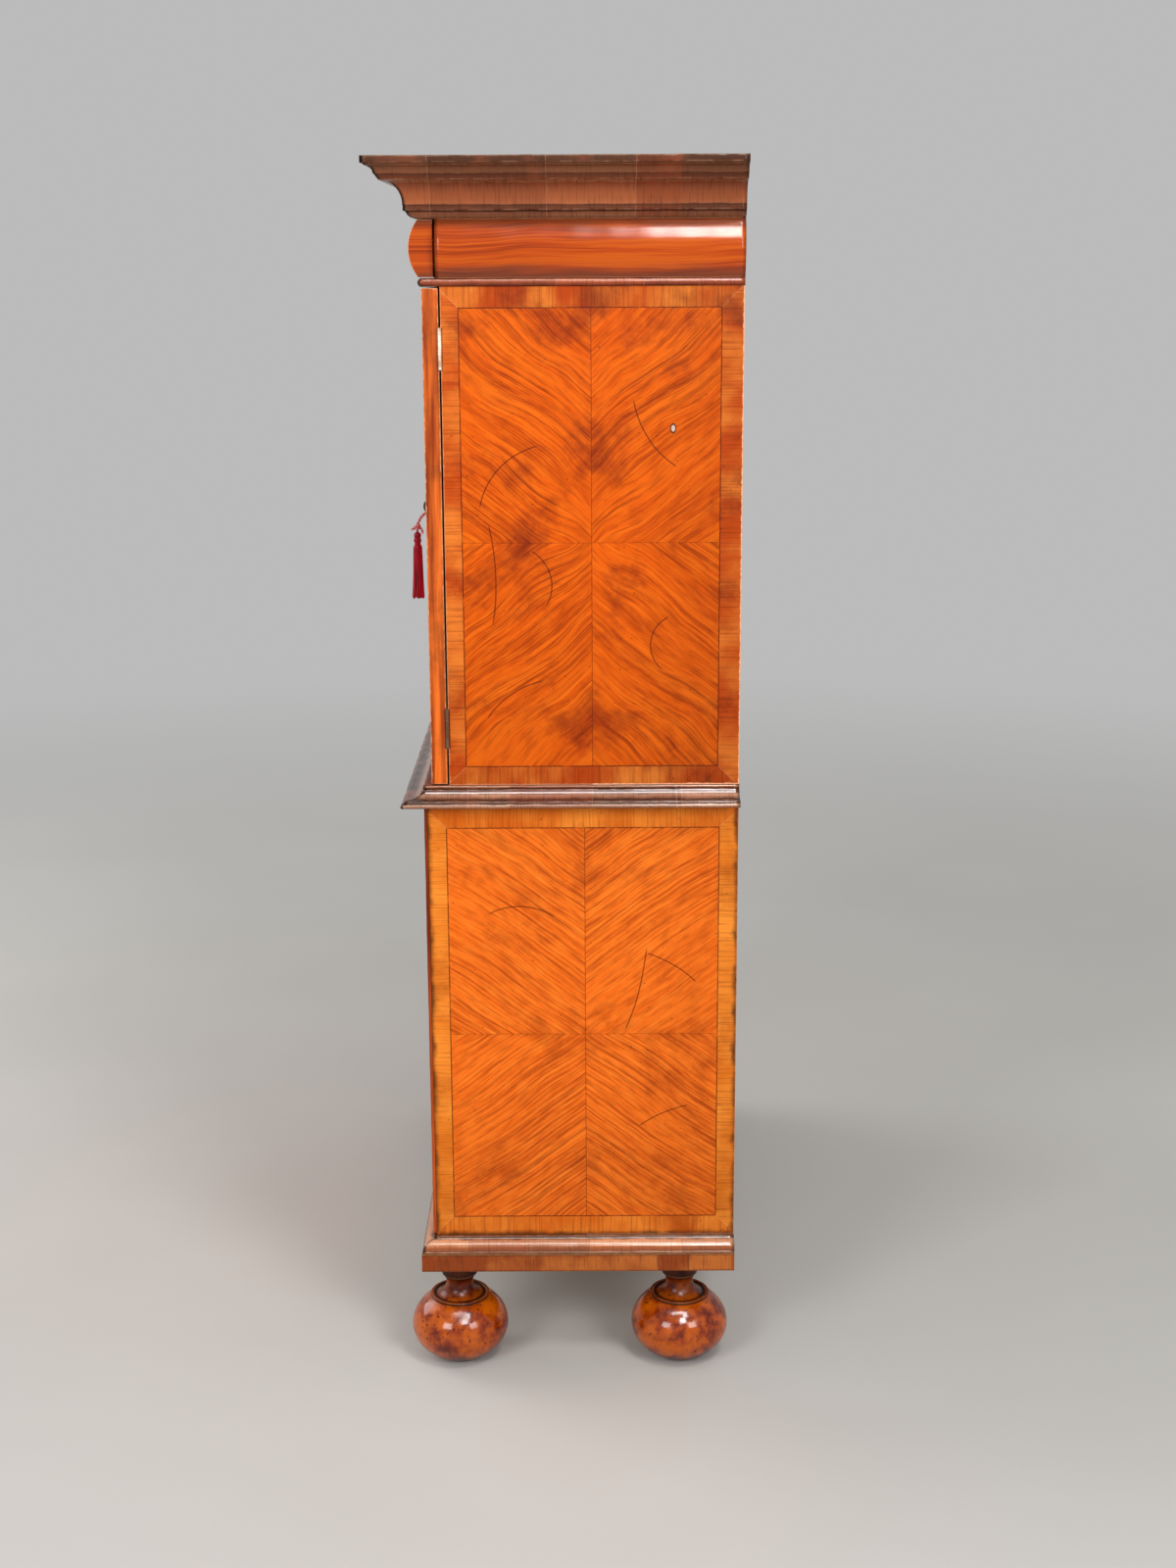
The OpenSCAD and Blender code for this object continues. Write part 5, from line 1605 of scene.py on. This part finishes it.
    # Its tints paint a highlight across the bead's round and shade at its top and its foot.
    HEAD_BEAD = CrossGrain(
        "frieze_bead_wood", HEAD_Z,
        (
            (0.0, tone(70, 26, 12)), (0.004, tone(150, 66, 36)), (0.0082, tone(190, 104, 68)),
            (0.011, tone(84, 36, 20)),
        ),
        seed=4.0, gloss=0.14,
    )
    PLINTH_SIDE = Banding("plinth_side", Axis.DEEP, PLINTH_FOOT, PLINTH_Z)
    PLINTH_FRONT = Banding("plinth_front", Axis.ACROSS, PLINTH_FOOT, PLINTH_Z)
    SIDE_FRIEZE = Cushion("side_frieze", FRIEZE_Z, CORNICE_Z, Axis.DEEP, seed=1.0)
    FRONT_FRIEZE = Cushion("front_frieze", FRIEZE_Z, CORNICE_Z, Axis.ACROSS, seed=2.0)
    FEET = Burr("burr")
    TOP = LongGrain(
        "dusty_top", Axis.ACROSS, tone(92, 66, 46), tone(146, 116, 88), seed=10.0, plank_axis=Axis.DEEP,
        plank=0.15, dirt=0.5, gloss=0.7,
    )
    BACK_BOARDS = LongGrain(
        "back_boards", Axis.UP, tone(128, 92, 62), tone(170, 132, 96), seed=11.0, plank_axis=Axis.ACROSS,
        plank=0.19, dirt=0.3, gloss=0.65, aged=0.2,
    )


class Trim(Enum):
    """The metal and silk finishes."""

    BRASS = Metal("aged_brass", tone(214, 172, 92), tone(150, 112, 56), rough=0.26)
    IRON = Metal("brown_iron", tone(96, 84, 76), tone(60, 50, 44), rough=0.42, metallic=0.85)
    TASSEL = Silk("tassel_silk", tone(192, 8, 48), tone(104, 0, 22), threads=700.0, sheen=0.1)
    CORD = Silk("cord_silk", tone(236, 140, 138), tone(158, 62, 70), threads=900.0, sheen=0.15)
    HINGE = Metal("worn_hinge", tone(214, 200, 180), tone(168, 130, 100), rough=0.34, browned=1.2)


class Finishes:
    """Makes each finish's material once, when it is first asked for."""

    def __init__(self) -> None:
        """Starts without any."""
        self._made: dict[str, bpy.types.Material] = {}

    def __getitem__(self, finish: Enum) -> bpy.types.Material:
        """The material of a finish.

        Args:
            finish: The finish, one of Wood or Trim.

        Returns:
            Its material.
        """
        if finish.name not in self._made:
            self._made[finish.name] = finish.value.material()
        return self._made[finish.name]


def front_and_sides(
    section: Section, y_front: float, z: float, y_end: float, seed: int, **more: float
) -> Patch:
    """A moulding round the front and both sides: three lengths that meet in mitres.

    Args:
        section: Its section.
        y_front: The face that the front length lies on.
        z: Its foot.
        y_end: Where the side lengths end.
        seed: Its own unevenness.
        **more: Other values of the lengths.

    Returns:
        The patch.
    """
    front = Length(section, -BOARD_HALF, BOARD_HALF, mitre_start=True, mitre_end=True, seed=seed, **more)
    side = Length(section, y_front + CLEAR, y_end, mitre_start=True, seed=seed + 10, **more)
    right = side.patch((HALF, 0, z), Y_WAY, X_WAY)
    left = replace(side, seed=seed + 20).patch((HALF, 0, z), Y_WAY, X_WAY).mirrored()
    return front.patch((0, y_front, z), X_WAY, FRONT_WAY) + right + left


def slab(half: float, y0: float, y1: float, z0: float, z1: float, ease: float = 0.3) -> Patch:
    """A board across the cabinet with eased long edges.

    Args:
        half: Half its length.
        y0: Where its front edge lies.
        y1: Where its back edge lies.
        z0: The height of its underside.
        z1: The height of its top.
        ease: How far its long edges are rounded, in millimetres.

    Returns:
        The patch.
    """
    deep, tall = (y1 - y0) / MM, (z1 - z0) / MM
    section = Section.eased([(0, 0), (deep, 0), (deep, tall), (0, tall)], ease)
    board = Length(section, -half, half, wobble=0.0, nicks=0.0, pitch=0.05)
    return board.patch((0, y1, z0), X_WAY, FRONT_WAY)


@dataclass
class Mouldings:
    """All mouldings, beads and cushions of the carcase."""

    finishes: Finishes
    bead_pair: float = 0.02
    bead_levels: tuple[float, ...] = (CHEST_Z, 0.426, 0.634, 0.824)
    waist_board: float = 0.008
    cushion_front: float = -0.1575

    def build(self) -> None:
        """Makes each moulding and puts it in its CAD node's place."""
        self._cornice()
        self._waist()
        self._plinth()
        self._beads()
        self._cushions()

    def _place(self, patch: Patch, name: str, finish: Enum, slot: str, *nodes: str) -> None:
        """Turns a patch into a piece of the carcase."""
        settle(patch.piece(name, self.finishes[finish]), "carcase", slot, *nodes)

    def _cornice(self) -> None:
        """The cornice: a fillet, a cove, a small hollow and a fascia."""
        outline = [(0, 0), (3, 0), *arc((3, 0.5), (13, 8.5), -2), (13, 8.5), (16.5, 10), (16.5, 17)]
        outline += [*arc((17, 17), (32.5, 45), 4.5, 24), (32.5, 45), (44.5, 47), (49.5, 54)]
        outline += [*arc((50.5, 54.5), (61.5, 64.5), 3, 16), (61.5, 64.5), (61.5, 66), (65.5, 67)]
        outline += [(65.5, 76), (0, 76)]
        patch = front_and_sides(Section.eased(outline, 0.6), FRIEZE_Y, CORNICE_Z, BACK, 3, nicks=0.0011)
        self._place(patch, "cornice_run", Wood.CORNICE, "walnut_moulding", "cornice_moulding")

    def _waist(self) -> None:
        """The waist moulding: a foot bead, fillets, a hollow and a top bead, with its board."""
        outline = [(0, 0), *arc((31, 0), (31, 6.5), -3), (31, 6.5), (29, 7), (29, 9)]
        outline += [*arc((27, 9.5), (5, 20.5), 4, 20), (5, 20.5), (2.5, 21.5)]
        outline += [*arc((3, 21.5), (3, 26), -1.8), (3, 26), (0, 26)]
        patch = front_and_sides(Section.eased(outline, 0.5), CHEST_Y, WAIST_Z, BACK, 5, nicks=0.0006)
        patch += slab(BOARD_HALF, CHEST_Y, CASE_Y, CASE_Z - self.waist_board, CASE_Z)
        self._place(patch, "waist_run", Wood.WAIST, "walnut_moulding", "waist_moulding")

    def _plinth(self) -> None:
        """The plinth moulding: two fillets, a swelling band and a top fillet."""
        outline = [(0, 0), (17.5, 0), (17.5, 2.2), (20, 2.2), (20, 4)]
        outline += [*arc((19, 4), (5, 18), -4.5, 20), (5, 18), (3.5, 19.5), (3.5, 22), (0, 22)]
        patch = front_and_sides(Section.eased(outline, 0.5), CHEST_Y, PLINTH_Z, BACK, 7, nicks=0.0007)
        self._place(patch, "plinth_run", Wood.PLINTH, "walnut_moulding", "plinth_moulding")

    def _beads(self) -> None:
        """The bead under the frieze, and the double beads round the chest's drawers."""
        single = Section.eased([*arc((0, 0), (0, 11), -4, 18), (0, 11)], 0.3)
        head = front_and_sides(single, DOOR_Y, HEAD_Z, BACK, 9)
        head += slab(BOARD_HALF, DOOR_Y, CASE_Y, HEAD_Z, FRIEZE_Z)
        self._place(head, "frieze_bead_run", Wood.HEAD_BEAD, "walnut_moulding", "frieze_bead")
        pair = [*arc((1, 0), (1, 10), -4, 12), *arc((1, 10), (1, 20), -4, 12)]
        double = Section.eased([(0, 0), *pair, (1, 20), (0, 20)], 0.3)
        tall = Length(double, CHEST_Z, WAIST_Z, seed=31)
        right = tall.patch((HALF - self.bead_pair, CHEST_Y, 0), Z_WAY, FRONT_WAY, X_WAY)
        uprights = right + right.mirrored()
        self._place(uprights, "bead_uprights", Wood.BEADS_UP, "walnut_moulding", "chest_front_beads")
        reach = HALF - self.bead_pair - CLEAR
        level = [Length(double, -reach, reach, seed=33 + i) for i in range(len(self.bead_levels))]
        rails = [rail.patch((0, CHEST_Y, z), X_WAY, FRONT_WAY) for rail, z in zip(level, self.bead_levels)]
        whole = sum(rails[1:], rails[0])
        self._place(whole, "bead_rails", Wood.BEADS_LEVEL, "walnut_moulding", "chest_front_beads")

    def _cushions(self) -> None:
        """The swelling side friezes."""
        outline = [(0, 0), *arc((2, 0), (2, 75), -10.5, 30), (2, 75), (0, 75)]
        side = Length(Section.eased(outline, 0.8), self.cushion_front, BACK, wobble=0.0001, seed=41)
        right = side.patch((HALF, 0, FRIEZE_Z), Y_WAY, X_WAY)
        both = right + right.mirrored()
        self._place(both, "side_friezes", Wood.SIDE_FRIEZE, "walnut_veneer", "frieze_cushions")


@dataclass
class Boards:
    """The veneered sides, doors and drawer fronts with eased arrises, and the plain boards in their woods."""

    finishes: Finishes
    arris: float = 0.0008
    door_arris: float = 0.0012
    plinth_arris: float = 0.0006
    border: float = 0.026

    def build(self) -> None:
        """Makes the boards."""
        f = self.finishes
        inside = f[Wood.OAK_INSIDE]
        # The sides' front edges take the near-black wood of painted shade.
        edges = {Side.FRONT: f[Wood.SHADED_EDGE], Side.BACK: f[Wood.CASE_EDGE]}
        cases = (
            ("left", Side.LEFT, Wood.UPPER_LEFT, Wood.LOWER_LEFT),
            ("right", Side.RIGHT, Wood.UPPER_SIDE, Wood.LOWER_SIDE),
        )
        for name, out, upper, lower in cases:
            eased_copy("cupboard_side_" + name, self.arris, inside, {out: f[upper], **edges})
            eased_copy("chest_side_" + name, self.arris, inside, {out: f[lower], **edges})
        for name, wood in (("left", Wood.LEFT_DOOR), ("right", Wood.RIGHT_DOOR)):
            ends = {Side.LEFT: f[Wood.DOOR_EDGE], Side.RIGHT: f[Wood.DOOR_EDGE]}
            eased_copy("door_" + name, self.door_arris, inside, {Side.FRONT: f[wood], **ends})
        for name, seed in (("bottom", 5.0), ("middle", 6.0), ("top", 7.0)):
            front = {Side.FRONT: self._drawer_veneer(name, seed).material()}
            eased_copy(name + "_drawer_front", self.arris, f[Wood.OAK_BOX], front)
        ends = {Side.RIGHT: f[Wood.PLINTH_SIDE], Side.LEFT: f[Wood.PLINTH_SIDE]}
        eased_copy("plinth_frame", self.plinth_arris, inside, {Side.FRONT: f[Wood.PLINTH_FRONT], **ends})
        self._drawer_frieze()
        dress(f[Wood.TOP], "cornice_top")
        dress(f[Wood.BACK_BOARDS], "chest_back", "cupboard_back")
        dress(
            f[Wood.OAK_ALONG], "chest_bottom", "chest_top", "chest_rails", "cupboard_bottom",
            "frieze_board", "top_board", "cornice_frame", "shelves", "chest_dustboards",
        )
        dress(f[Wood.OAK_DEEP], "chest_runners", "shelf_battens")
        dress(
            f[Wood.OAK_BOX], "frieze_drawer_box", "bottom_drawer_box", "middle_drawer_box", "top_drawer_box"
        )

    def _drawer_veneer(self, name: str, seed: float) -> Veneer:
        """The veneer of a long drawer's front, with its border as wide on all sides.

        Args:
            name: The drawer's name.
            seed: Its own figure.

        Returns:
            The veneer.
        """
        least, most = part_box(name + "_drawer_front")
        half, low, high, border = most.x, least.z, most.z, self.border
        string = (-half + border, half - border, low + border, high - border)
        return Veneer(
            name + "_front_veneer", Face.FRONT, joint=(0.0, (low + high) / 2), string=string,
            edge=(-half, half, low, high), seed=seed, slope=0.5, bend=0.2, rub=(0.3, 0.3), painted_shade=(0.0, 0.0),
        )

    def _drawer_frieze(self) -> None:
        """The frieze drawer's front, a half-moon in section with a flat back."""
        outline = [(-20, 1), *arc((0, 1), (0, 74), -12.5, 34), (0, 74), (-20, 74)]
        section = Section.eased(outline, 0.8)
        front = Length(section, -HALF, HALF, wobble=0.0002, nicks=0.0008, ease_ends=0.0009, seed=43)
        patch = front.patch((0, FRIEZE_Y, FRIEZE_Z), X_WAY, FRONT_WAY)
        piece = patch.piece("frieze_front", self.finishes[Wood.FRONT_FRIEZE])
        settle(piece, "frieze_drawer", "walnut_veneer", "frieze_drawer_front")


@dataclass
class Feet:
    """The four turned bun feet. The bun's radius, its middle's height and its top are in millimetres."""

    finishes: Finishes
    radius: float = 70.5
    middle: float = 49.0
    bun_top: float = 93.0
    places: tuple[tuple[str, float, float], ...] = (
        ("foot_front_left", -0.46, -0.154),
        ("foot_front_right", 0.46, -0.154),
        ("foot_back_left", -0.46, 0.169),
        ("foot_back_right", 0.46, 0.169),
    )
    # Bands of painted shade: the neck under the plinth, the collar's groove, the cone below the neck and the
    # bun's foot by the floor.
    grime_and_shade: tuple[Point, ...] = ((136, 17, 1.0), (95, 1.4, 1.0), (108, 13, 0.6), (4, 14, 0.5))

    def build(self) -> None:
        """Turns each foot."""
        for name, x, y in self.places:
            foot = turned(self._outline(), (x, y, 0), Pole.UP, ease=0.4, grime_and_shade=self.grime_and_shade)
            settle(foot.piece(name + "_turned", self.finishes[Wood.FEET]), "carcase", "turned_walnut", name)

    def _outline(self) -> list[Spot]:
        """The foot's outline: a bun, a collar, a hollow neck that flares at the top, and a spigot.

        The bun is two part turns of its radius that are squashed to the height below and above its middle.

        Returns:
            The outline in millimetres.
        """
        wide, middle, top = self.radius, self.middle, self.bun_top
        low, high = math.acos(29 / wide), math.acos(41.5 / wide)
        below = [
            (wide * math.cos(t), middle + middle * math.sin(t) / math.sin(low))
            for t in np.linspace(-low, 0, 26)
        ]
        above = [
            (wide * math.cos(t), middle + (top - middle) * math.sin(t) / math.sin(high))
            for t in np.linspace(0, high, 24)[1:]
        ]
        collar = [*arc((42.5, 93.5), (41, 96.5), -1.5, 8), (38.5, 96.5)]
        neck = [*arc((37.5, 95), (19.5, 113.7), 4.5, 20), *arc((19.5, 113.7), (25.8, 127.7), 1.6, 12)]
        spigot = [(25.8, 127.7), (28.5, 149), (28.5, 152), (16, 152), (16, 176), (0, 176)]
        return [(0, 0), *below, *above, *collar, *neck, *spigot]


@dataclass
class Tassel:
    """The crimson tassel, its knot, and the two-ply pink cord that it hangs by.

    The outline's points are how far down the tassel they lie and its radius there, in millimetres. The
    binding's ends and the skirt's start are on the same scale.
    """

    finishes: Finishes
    top: Point = (0.026, -0.225535, 1.168824)
    long: float = 0.107
    outline: tuple[Spot, ...] = (
        (0, 1.5), (4, 1.6), (5.2, 3.4), (7.2, 4.9), (9.6, 5.4), (12.2, 4.9), (13.4, 4.4), (14.6, 5.0),
        (17.0, 5.75), (19.4, 5.5), (20.8, 4.6), (21.4, 4.75), (22.4, 4.9), (23.4, 4.75), (24, 4.6),
        (25.4, 6.1), (28, 6.8), (44, 7.2), (70, 7.9), (95, 8.8), (104, 9.3), (107, 9.1),
    )
    binding: Spot = (20.6, 24.2)
    skirt: float = 24.0
    route: tuple[Spot, ...] = (
        (0, 0), (-2.6, -2.1), (-5.4, -4.6), (-8.6, -8.6), (-11.4, -13.6), (-13.8, -18.6), (-16.4, -22.4),
        (-19.8, -24.8), (-23.4, -26.2),
    )
    start: Point = (0.026, -0.211535, 1.194424)
    radius: float = 0.0024
    knot_radius: float = 0.0021
    tail_radius: float = 0.0019

    def build(self) -> None:
        path = [tuple(np.array(self.start) + np.array([0, y, z]) * MM) for y, z in self.route]
        lie = smooth_way(np.array(path), 8)
        silk = self.finishes[Trim.CORD]
        cord = rope(lie, self.radius).piece("cord_twist", silk, weighted=False)
        settle(cord, "tassel", "cord_silk", "tassel_cord")
        knot = rope(smooth_way(self._knot(), 6), self.knot_radius).piece("cord_knot", silk, weighted=False)
        tail = rope(smooth_way(self._tail(), 6), self.tail_radius).piece("cord_tail", silk, weighted=False)
        for piece in (knot, tail):
            settle(piece, "tassel", "cord_silk")
        body = self._body().piece("tassel_threads", self.finishes[Trim.TASSEL], weighted=False)
        settle(body, "tassel", "tassel_silk", "tassel")
        length = float(travelled(lie)[-1])
        2 * self.radius

    def _knot(self) -> np.ndarray:
        """The knot's coil, one turn and a half about the cord over the tassel's stem.

        Returns:
            Points on its line.
        """
        t = np.linspace(-0.6, 2.6 * math.pi, 15)
        rise = np.linspace(-0.0026, 0.0034, 15)
        wide = 0.0032
        middle = np.array(self.top) + np.array([0, 0.0004, 0.0026])
        return middle + np.stack([wide * np.cos(t), wide * np.sin(t), rise + 0.0006 * np.sin(2 * t)], axis=1)

    def _tail(self) -> np.ndarray:
        """The cord's tail, that sticks out backwards and down from the knot.

        Returns:
            Points on its line.
        """
        steps = np.array([[0, 1, 3], [1, 4.2, 2.8], [1.2, 6.6, 0.4], [0.8, 7.8, -3.4], [0.6, 8.3, -7.4]])
        return np.array(self.top) + steps * MM

    def _body(self) -> Patch:
        """The tassel: a two-lobed head, a bound neck and a skirt of threads whose folds deepen to its hem.

        The folds are the sum of three waves round the tassel. They scallop the hem too.

        Returns:
            The patch, closed under the hem.
        """
        sides, tall = 260, self.outline[-1][0]
        close, wider = np.linspace(0, 30, 70, endpoint=False), np.linspace(30, tall, 80)
        down = np.concatenate([close, wider])
        drop, way = down[:, None], np.linspace(0, 2 * math.pi, sides, endpoint=False)[None, :]
        low = np.clip((drop - self.skirt) / (tall - self.skirt), 0, 1)
        folds = np.sin(7 * way + 1.0) * 0.55 + np.sin(11 * way + 2.3 + 0.6 * low) * 0.35
        folds = folds + np.sin(4 * way - 0.8) * 0.35
        r, dark = self._threads(drop, way, low, folds)
        hem = 1.6 * folds * np.clip((low - 0.8) / 0.2, 0, 1) ** 2
        deep = np.clip((drop + hem) / tall, 0, 1.012) * self.long
        swing = 0.0006 * low**1.5
        points = np.stack([r * MM * np.cos(way), r * MM * np.sin(way) - swing, -deep], axis=-1).reshape(-1, 3)
        poles = np.array([[0, 0, 0], [0, 0, -self.long * 0.965]])
        points = np.concatenate([points, poles]) + np.array(self.top)
        faces = [face[::-1] for face in capped(len(down), sides)]
        lengthwise, around = np.broadcast_to(drop * MM, r.shape), np.broadcast_to(way * 0.008, r.shape)
        run = np.stack([lengthwise, around], axis=-1).reshape(-1, 2)
        run = np.concatenate([run, [[0.0, 0.0], [self.long, 0.0]]])
        # The hollows' painted shade, and full painted shade at the pole under the hem.
        return Patch(points, faces, run, None, np.concatenate([dark.ravel(), [0.0, 1.0]]))

    def _threads(
        self, drop: np.ndarray, way: np.ndarray, low: np.ndarray, folds: np.ndarray
    ) -> tuple[np.ndarray, np.ndarray]:
        """How far out the tassel's points lie and how dark they are.

        A point's radius is the outline's there, times one plus the folds, which grow with the square of the
        way down the skirt, plus waves for the skirt's threads, the head's strands and the binding's coils.
        The hollows between all these are darkened with painted shade.

        Args:
            drop: How far down each ring lies, in millimetres.
            way: The angles round it.
            low: How far down the skirt each ring lies, of 0 to 1.
            folds: The folds at each point.

        Returns:
            The radii in millimetres, and the dark of 0 to 1.
        """
        start, end = self.binding
        head = np.clip((drop - 4) / 2, 0, 1) * np.clip((start - drop) / 1.5, 0, 1)
        tie = np.clip((drop - start) / 0.4, 0, 1) * np.clip((end - drop) / 0.4, 0, 1)
        threads = np.sin(46 * way + 3.0 * low) * (0.018 + 0.012 * np.sin(9 * way)) * np.clip(low * 12, 0, 1)
        strands = np.sin(9 * way + 0.55 * drop) * 0.07 * head
        coil = np.sin(2 * math.pi * drop / 1.1)
        shape = 1 + folds * (0.015 + 0.105 * low**2) * np.clip(low * 10, 0, 1) + threads + strands
        shape = shape + coil * 0.05 * tie
        # Painted shade in the folds' hollows, between the threads and under the binding's coils.
        hollow_shade = np.clip(-folds * 0.5 * low - threads * 9, 0, 1) + 0.5 * tie * (coil < -0.2)
        dark = np.clip(hollow_shade + np.clip(-strands * 9, 0, 0.8), 0, 1)
        return np.interp(drop, *np.array(self.outline).T) * shape, dark


def smooth_way(points: np.ndarray, parts: int) -> np.ndarray:
    """A line bent smoothly through points: each stretch is a Catmull-Rom curve of the four nearest.

    Args:
        points: The points.
        parts: Steps from one to the next.

    Returns:
        The finer line.
    """
    full = np.concatenate([[2 * points[0] - points[1]], points, [2 * points[-1] - points[-2]]])
    t = np.linspace(0, 1, parts, endpoint=False)[None, :, None]
    a, b, c, d = (full[i : len(full) - 3 + i][:, None, :] for i in range(4))
    bent = 0.5 * (2 * b + (c - a) * t + (2 * a - 5 * b + 4 * c - d) * t**2 + (3 * b - a - 3 * c + d) * t**3)
    return np.concatenate([bent.reshape(-1, 3), points[-1:]])


def rope(way: np.ndarray, radius: float, turn: float = 0.0105, sides: int = 32) -> Patch:
    """A two-ply cord along a line.

    Its section has the radius times the larger of 0.5 and the size of the cosine of the angle from the
    plies' line, which makes two plies side by side. The section turns round once in each length given, and
    its ends are rounded off. The narrow parts between the plies keep painted shade.

    Args:
        way: Points of the line.
        radius: Half the cord's thickness.
        turn: The length of a full turn.
        sides: Points round the cord.

    Returns:
        The patch.
    """
    step = np.gradient(way, axis=0)
    step /= np.linalg.norm(step, axis=1)[:, None]
    side = np.cross(step, [1.0, 0.13, 0.07])
    side /= np.linalg.norm(side, axis=1)[:, None]
    other = np.cross(step, side)
    run = travelled(way)
    t = np.linspace(0, 2 * math.pi, sides, endpoint=False)[None, :]
    ply = t - 2 * math.pi * run[:, None] / turn
    wide = radius * np.maximum(np.abs(np.cos(ply)) ** 0.7, 0.5)
    ends = np.minimum(run, run[-1] - run)[:, None]
    wide = wide * np.sqrt(np.clip(1 - (1 - np.clip(ends / (0.6 * radius), 0.05, 1)) ** 2, 0.0, 1))
    points = way[:, None, :] + (wide * np.cos(t))[..., None] * side[:, None, :]
    points = points + (wide * np.sin(t))[..., None] * other[:, None, :]
    rows = len(way)
    faces = [face[::-1] for face in grid(rows, sides)]
    faces += [list(range(sides)), [(rows - 1) * sides + j for j in range(sides)][::-1]]
    uv = np.stack([run[:, None] * 0.4 + ply * 0.0012, np.abs(np.sin(ply)) * 0.004], axis=-1)
    # Painted shade in the crease between the plies.
    grime_and_shade = np.clip(1.2 - wide / radius * 1.6, 0, 1)
    return Patch(points.reshape(-1, 3), faces, uv.reshape(-1, 2), None, grime_and_shade.ravel())


@dataclass
class Metalwork:
    """Hinges, bolts, locks, plates, drops and the key."""

    finishes: Finishes
    drop_x: float = 0.245
    petals: int = 16
    petal_rise: float = 0.35
    petal_ring: Spot = (10.6, 17.0)
    drawers: tuple[tuple[str, float], ...] = (("bottom", 0.323), ("middle", 0.540), ("top", 0.739))

    def build(self) -> None:
        """Dresses the metal parts and lays a chased rose over each drop handle's plate."""
        for drawer, z in self.drawers:
            roses = self._rose(-self.drop_x, z) + self._rose(self.drop_x, z)
            piece = roses.piece(drawer + "_roses", self.finishes[Trim.BRASS], weighted=False)
            settle(piece, drawer + "_drawer", "brass")
        dress(self.finishes[Trim.HINGE], "hinge_leaves_carcase", "hinge_leaves_left", "hinge_leaves_right")
        brass = ["door_bolt_guides", "bolt_top", "bolt_bottom", "door_escutcheon"]
        for drawer, _ in self.drawers:
            brass += [drawer + "_drawer_brasses", drawer + "_drop_left", drawer + "_drop_right"]
        dress(self.finishes[Trim.BRASS], *brass)
        dress(self.finishes[Trim.IRON], "door_lock", "lock_bolt", "key")

    def _rose(self, x: float, z: float) -> Patch:
        """A thin round rose with a beaded rim, a ring of petals and a raised middle.

        Within the petals' ring a point is raised by the petals' rise times the size of the cosine of half
        the number of petals times its angle, fading out towards both edges of the ring.

        Args:
            x: Its place across the front.
            z: Its height.

        Returns:
            The patch.
        """
        outline = [
            (0, 0.3), (18.6, 0.3), (19.3, 0.7), (19.4, 1.35), (18.9, 1.8), (18.1, 1.85), (17.5, 1.6),
            (17, 1.56), (15.5, 1.75), (13.5, 1.9), (11.5, 1.95), (10.6, 1.9), (10, 2.35), (9, 2.95),
            (8, 3), (7.2, 2.75), (6.6, 2.4), (0, 2.4),
        ]
        rose = turned(outline, (x, CHEST_Y, z), Pole.FORWARDS, ease=0.15)
        across, up = rose.points[:, 0] - x, rose.points[:, 2] - z
        reach = np.hypot(across, up) / MM
        inner, outer = self.petal_ring
        fade = np.clip((reach - inner) / 1.4, 0, 1) * np.clip((outer - reach) / 1.4, 0, 1)
        wave = np.abs(np.cos(self.petals / 2 * np.arctan2(up, across)))
        lift = self.petal_rise * MM * wave * fade * (rose.points[:, 1] < CHEST_Y - 0.001)
        rose.points[:, 1] -= lift
        rose.grime_and_shade[:] = np.maximum(rose.grime_and_shade, np.clip(0.8 - lift / MM * 3, 0, 1) * fade)
        return rose


def main() -> None:
    """Builds the scene."""
    logging.basicConfig(level=logging.INFO, format="%(message)s")
    finishes = Finishes()
    Studio().build()
    parts = (Tassel(finishes), Boards(finishes), Mouldings(finishes), Feet(finishes), Metalwork(finishes))
    for assembly in parts:
        assembly.build()


if __name__ == "__main__":
    main()
